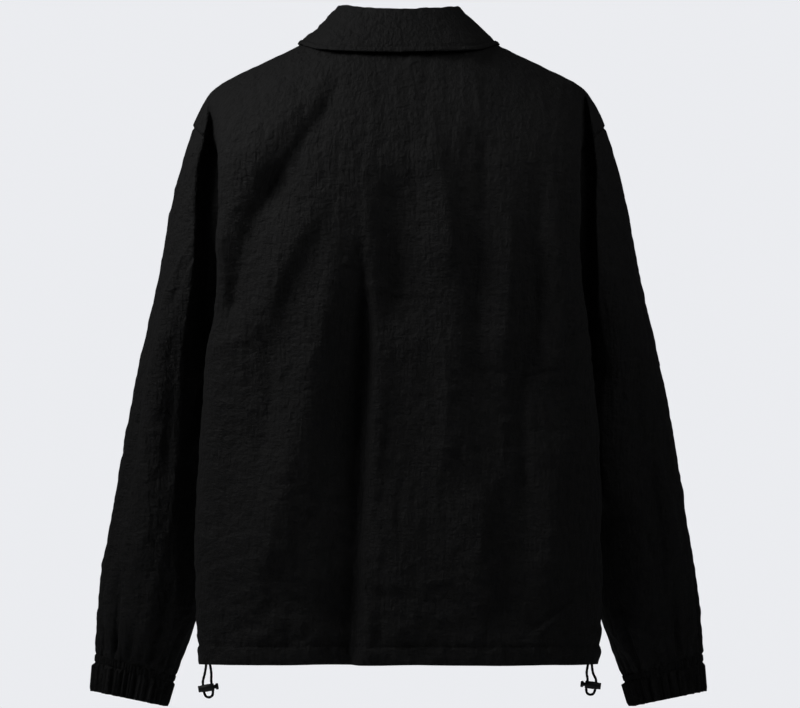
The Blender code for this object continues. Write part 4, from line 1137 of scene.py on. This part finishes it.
def back_crevices(grid, coarse):
    """The back's cloth past its fold, drawn in to the crevice on both sides."""
    knots = spans(coarse, 1).mean(axis=0)
    past = np.abs(np.arange(len(knots)) - (len(knots) - 1) / 2) - NECK_STEPS - SHOULDER_STEPS
    at = np.interp(np.linspace(0, knots[-1], grid.shape[1]), knots, np.maximum(past, 0) / RETURN_STEPS)
    for label, side in (("left", grid[..., 0] > 0), ("right", grid[..., 0] < 0)):
        start = read(CREVICES[label], "start", grid[..., 2])
        grid[..., 1] -= side * crevice_depth(grid, label) * eased(at - start, CREVICE_TURN)


def build_panel(name, coarse, pitch, facing, folds, seams, seed, crease_count, material):
    """A creased body panel, its hem a little uneven and of doubled cloth."""
    grid = refined(coarse, pitch)
    up = spans(grid, 0)
    wave = lattice_noise(grid[..., 0], up * 0, HEM_WAVE, seed + 20)
    grid[..., 2] += wave * (1 - eased(up, HEM_WAVE_HEIGHT))
    up = spans(grid, 0)
    grid = softened(grid, up[-1:] - up)
    if name == "back":
        back_crevices(grid, coarse)
    normals = normals_of(grid, facing)
    outer = grid + normals * body_rise(grid, folds, seams, seed, crease_count)[..., None]
    thickness = HEM_CLOTH + (CLOTH - HEM_CLOTH) * eased(spans(grid, 0) - HEM_CASING + HEM_STEP / 2, HEM_STEP)
    piece = cloth_piece(name, "hung", outer, normals, thickness, facing, material)
    piece["normals"] = normals_of(outer, facing)
    return piece


def gather_rise(around, up, gathers):
    """Grooves up from the cuff, with like ones on the hidden front of the arm."""
    rise = np.zeros_like(around)
    front = [(FRONT_GATHERS_SHIFT - at, -lean, *rest) for at, lean, *rest in gathers]
    for middle, lean, length, half_width, depth in np.array([*gathers, *front]) * MILLI:
        share = np.clip(up / length, 0, 1)
        aside = (around - middle - lean * share) * SLEEVE_GIRTH
        deep = depth * (1 - share) ** GATHER_FALL * eased(up, GATHER_FADE)
        rise -= deep * hump(aside, half_width * (GATHER_START + GATHER_SPREAD * share), GATHER_SHARPNESS)
    return rise


def build_sleeve(label, coarse, angles, folds, gathers, seed, material):
    """A creased sleeve, drawn together at its cuff and sunk in beside the back's fold."""
    grid = refined(coarse, SLEEVE_PITCH)
    run = spans(coarse, 1).mean(axis=0)
    angle_at = np.interp(np.linspace(0, 1, SLEEVE_PITCH[1] + 1), run / run[-1], angles)
    around = np.broadcast_to(angle_at / math.tau + 0.5, grid.shape[:2])
    down = spans(grid, 0)
    to_cuff = down[-1:] - down
    a, b = around * SLEEVE_GIRTH, grid[..., 2]
    seam = np.minimum(a, SLEEVE_GIRTH - a)
    rise = fold_rise(a, b, folds + UNDERARM_FOLDS) * eased(down, FOLD_FADE) * eased(to_cuff, CUFF_FOLD_FADE)
    fine = small_creases(a, b, seed, SLEEVE_CREASES, SLEEVE_LEAN) + lattice_noise(a, b, CRINKLE, seed + 1)
    rise += fine * eased(down, CREASE_FADE) * eased(seam, CREASE_FADE) * eased(to_cuff, CUFF_CREASE_FADE)
    rise += gather_rise(around, b - grid[-1:, :, 2], gathers)
    near_cuff = np.exp(-to_cuff / RUFFLE_LENGTH)
    ruffle = lattice_noise(a, to_cuff, RUFFLE, seed + 5) * near_cuff
    rise += ruffle * (RUFFLE_ROOT + (1 - RUFFLE_ROOT) * eased(to_cuff, RUFFLE_TUCK_LENGTH))
    rise -= RUFFLE_TUCK * hump(to_cuff, RUFFLE_TUCK_LENGTH)
    rise -= SEAM_DEPTH * hump(np.minimum(seam, down), SEAM_HALF_WIDTH)
    outer = grid + normals_of(grid, SLEEVE_FACING, closed=True) * rise[..., None]
    ragged = (RAGGED_END + lattice_noise(a, to_cuff, RAGGED, seed + 6)) * near_cuff
    outer += unit(grid[-1] - grid[-2]) * ragged[..., None]
    at_back = eased(around - 0.5, BACK_OF_ARM) * eased(1 - around, UNDERARM_SHARE)
    outer[..., 1] -= crevice_depth(grid, label) * at_back
    return closed_piece("sleeve", label, "hung", outer, CLOTH, material)


def closed_piece(part, label, held, outer, cloth, material, slot=CLOTH_SLOT):
    """A closed tube of cloth on the wearer's left, or its mirror image."""
    facing = SLEEVE_FACING
    normals = normals_of(outer, facing, closed=True)
    if label == "right":
        outer, normals, facing = outer * (-1, 1, 1), normals * (-1, 1, 1), -facing
    return cloth_piece(f"{part}_{label}", held, outer, normals, cloth, facing, material, slot, closed=True)


def uneven_pleats(turn, kind, draw):
    """Round-topped pleats with narrow valleys, uneven in width and height."""
    to_gather, jitter, taken_off = PLEATS[kind]
    count = to_gather * CUFF_GATHERS
    places = np.arange(count + 1) + np.concatenate([[0.0], draw.normal(0, jitter, count - 1), [0.0]])
    phase = np.interp(turn, np.linspace(0, math.tau, count + 1), places)
    height = draw.uniform(*PLEAT_HEIGHTS, count)[np.floor(phase).astype(int) % count]
    return height * np.abs(np.sin(math.pi * phase)) ** PLEAT_POWER - taken_off


def build_cuff(label, seed, material):
    """A cuff: a close-gathered header with uneven pleats below it."""
    draw = np.random.default_rng(seed)
    top, bottom = np.array(CUFF_RINGS)[..., None] * MILLI
    turn = np.linspace(0, math.tau, CUFF_PITCH[1] + 1)
    broad, small, close = (uneven_pleats(turn, kind, draw) for kind in PLEATS)
    swell = np.array([1.0, 0.0, -1.0, 0.0, 0.0, 1.0])[:, None]
    edge_share, edge_start, edge_width = CUFF_EDGE
    rows = []
    for down in np.linspace(0, 1, CUFF_PITCH[0] + 1):
        below = eased(down - CUFF_HEADER, CUFF_HEADER_FADE)
        pinch = hump(down - CUFF_HEADER, PINCH_WIDTHS[0]) + hump(down, PINCH_WIDTHS[1])
        pleats = CUFF_PLEAT * broad + CUFF_SMALL_PLEAT * small
        pleats = pleats * below * (1 - edge_share * eased(down - edge_start, edge_width))
        rise = pleats + HEADER_PLEAT * (1 - below) * close - CUFF_STITCH_PINCH * pinch
        rows.append(ring(top + (bottom - top) * down + swell * rise, turn))
    return closed_piece("cuff", label, "gathered", np.array(rows), CUFF_CLOTH, material, CASING_SLOT)


def collar_line(around):
    """The collar's line at one station: up from the neck, over the roll, down to its edge."""
    roll, edge = (Vector([read(COLLAR, f"{part}_{axis}", around) for axis in "xyz"])
                  for part in ("roll", "edge"))
    neck = Vector(neck_point(NECK_HALF_WIDTH * math.sin(math.pi * min(around, 1.0)), front=around > 0.5))
    out = Vector((edge.x - neck.x, edge.y - neck.y, 0)).normalized()
    edge -= out * LEAF_DRAW * (1 - eased(around, LEAF_DRAW_END))
    up = Vector((0, 0, 1))
    away = Vector((neck.x / NECK_HALF_WIDTH**2, neck.y / NECK_BACK[0] ** 2, 0)).normalized()
    neck -= away * COLLAR_CLOTH + up * CLOTH
    inside = roll - (out + up) * COLLAR_ROLL
    outside = roll + (out - up) * COLLAR_ROLL
    middle = (neck + inside) / 2 - out * COLLAR_STAND_BULGE
    line = [neck, middle, inside, roll, outside, (outside * 2 + edge) / 3, (outside + edge * 2) / 3, edge]
    return [tuple(point) for point in line]


def build_collar(material):
    """A stand up the neck and a leaf turned down over it, with a firm edge."""
    stations = np.linspace(0, COLLAR_END, COLLAR_STEPS + 1)
    left = np.array([collar_line(float(s)) for s in stations]).transpose(1, 0, 2)
    grid = refined(np.concatenate([mirrored(left)[:, :-1], left], axis=1), COLLAR_PITCH)
    facing = 1
    up, over = spans(grid, 0), spans(grid, 1)
    to_edge = np.minimum.reduce([up[-1:] - up, over, over[:, -1:] - over])
    creases = small_creases(over, up, COLLAR_SEED + 1, COLLAR_CREASES, COLLAR_LEAN)
    rise = (lattice_noise(up, over, CRINKLE, COLLAR_SEED) + creases) * COLLAR_RELIEF + COLLAR_CLOTH / 2
    for sign, (height, away, width) in ((1, COLLAR_EDGE), (-1, COLLAR_GROOVE)):
        rise += sign * height * hump(to_edge - away, width)
    outer = grid + normals_of(grid, facing) * rise[..., None]
    return cloth_piece("collar", "folded", outer, normals_of(outer, facing), COLLAR_CLOTH, facing, material)


def build_studs(piece, material):
    """Domed studs with a dimple, seated on the left front down its middle."""
    grid, normals = piece["grid"], piece["normals"]
    middle = int(np.abs(grid[:, :, 0]).mean(axis=0).argmin())
    turn = full_turn(STUD_SEGMENTS)
    studs = []
    for number, height in enumerate(np.linspace(STUD_TOP_HEIGHT, STUD_BOTTOM_HEIGHT, STUD_COUNT), start=1):
        row = int(np.abs(grid[:, middle, 2] - height).argmin())
        facing = Vector(normals[row, middle]).to_track_quat("Z", "X").to_matrix().to_4x4()
        frame = Matrix.Translation((0.0, grid[row, middle, 1], height)) @ facing
        points = [tuple(frame @ (Vector((radius * math.cos(t), radius * math.sin(t), rise)) * MILLI))
                  for radius, rise in STUD_TURNING for t in turn]
        stud = mesh_object(f"domed_stud_{number}", points, tube(len(STUD_TURNING), STUD_SEGMENTS))
        studs.append(dress(stud, material, "stud_lacquer", f"stud_{number}"))
    return studs


def main():
    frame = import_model()
    set_camera()
    set_studio()
    looks = set_materials()
    for label in LOCKS:
        build_cord(label, frame, looks)
    back, left = body_grids()
    right = under_lap(mirrored(left))
    flipped = [(rise, lesser, greater, soft, *np.ravel(np.reshape(points, (-1, 2)) * (-1, 1)))
               for rise, greater, lesser, soft, *points in FRONT_FOLDS]
    cloth, casing = looks["cloth"], looks["casing"]
    panels = (
        ("back", back, BACK_PITCH, BACK_FACING, BACK_FOLDS, ("left", "right", "top"), 11, 640),
        ("front_left", left, FRONT_PITCH, FRONT_FACING, FRONT_FOLDS, ("right", "top"), 21, 320),
        ("front_right", right, FRONT_PITCH, FRONT_FACING, flipped, ("left", "top"), 31, 320),
    )
    pieces = {row[0]: build_panel(*row, cloth) for row in panels}
    pieces["collar"] = build_collar(cloth)
    pieces["cuff_left"] = build_cuff("left", 61, casing)
    pieces["cuff_right"] = build_cuff("right", 62, casing)
    sewn_on = {name: [sew(name, piece, looks["thread"])] for name, piece in pieces.items()}
    sewn_on["front_left"] += build_studs(pieces["front_left"], looks["lacquer"])
    coarse, angles = sleeve_grid(back, left)
    for label, folds, gathers, seed in (("left", LEFT_SLEEVE_FOLDS, LEFT_GATHERS, 41),
                                        ("right", RIGHT_SLEEVE_FOLDS, RIGHT_GATHERS, 51)):
        pieces[f"sleeve_{label}"] = build_sleeve(label, coarse, angles, folds, gathers, seed, cloth)
    for name, piece in pieces.items():
        state_cut(piece)


main()
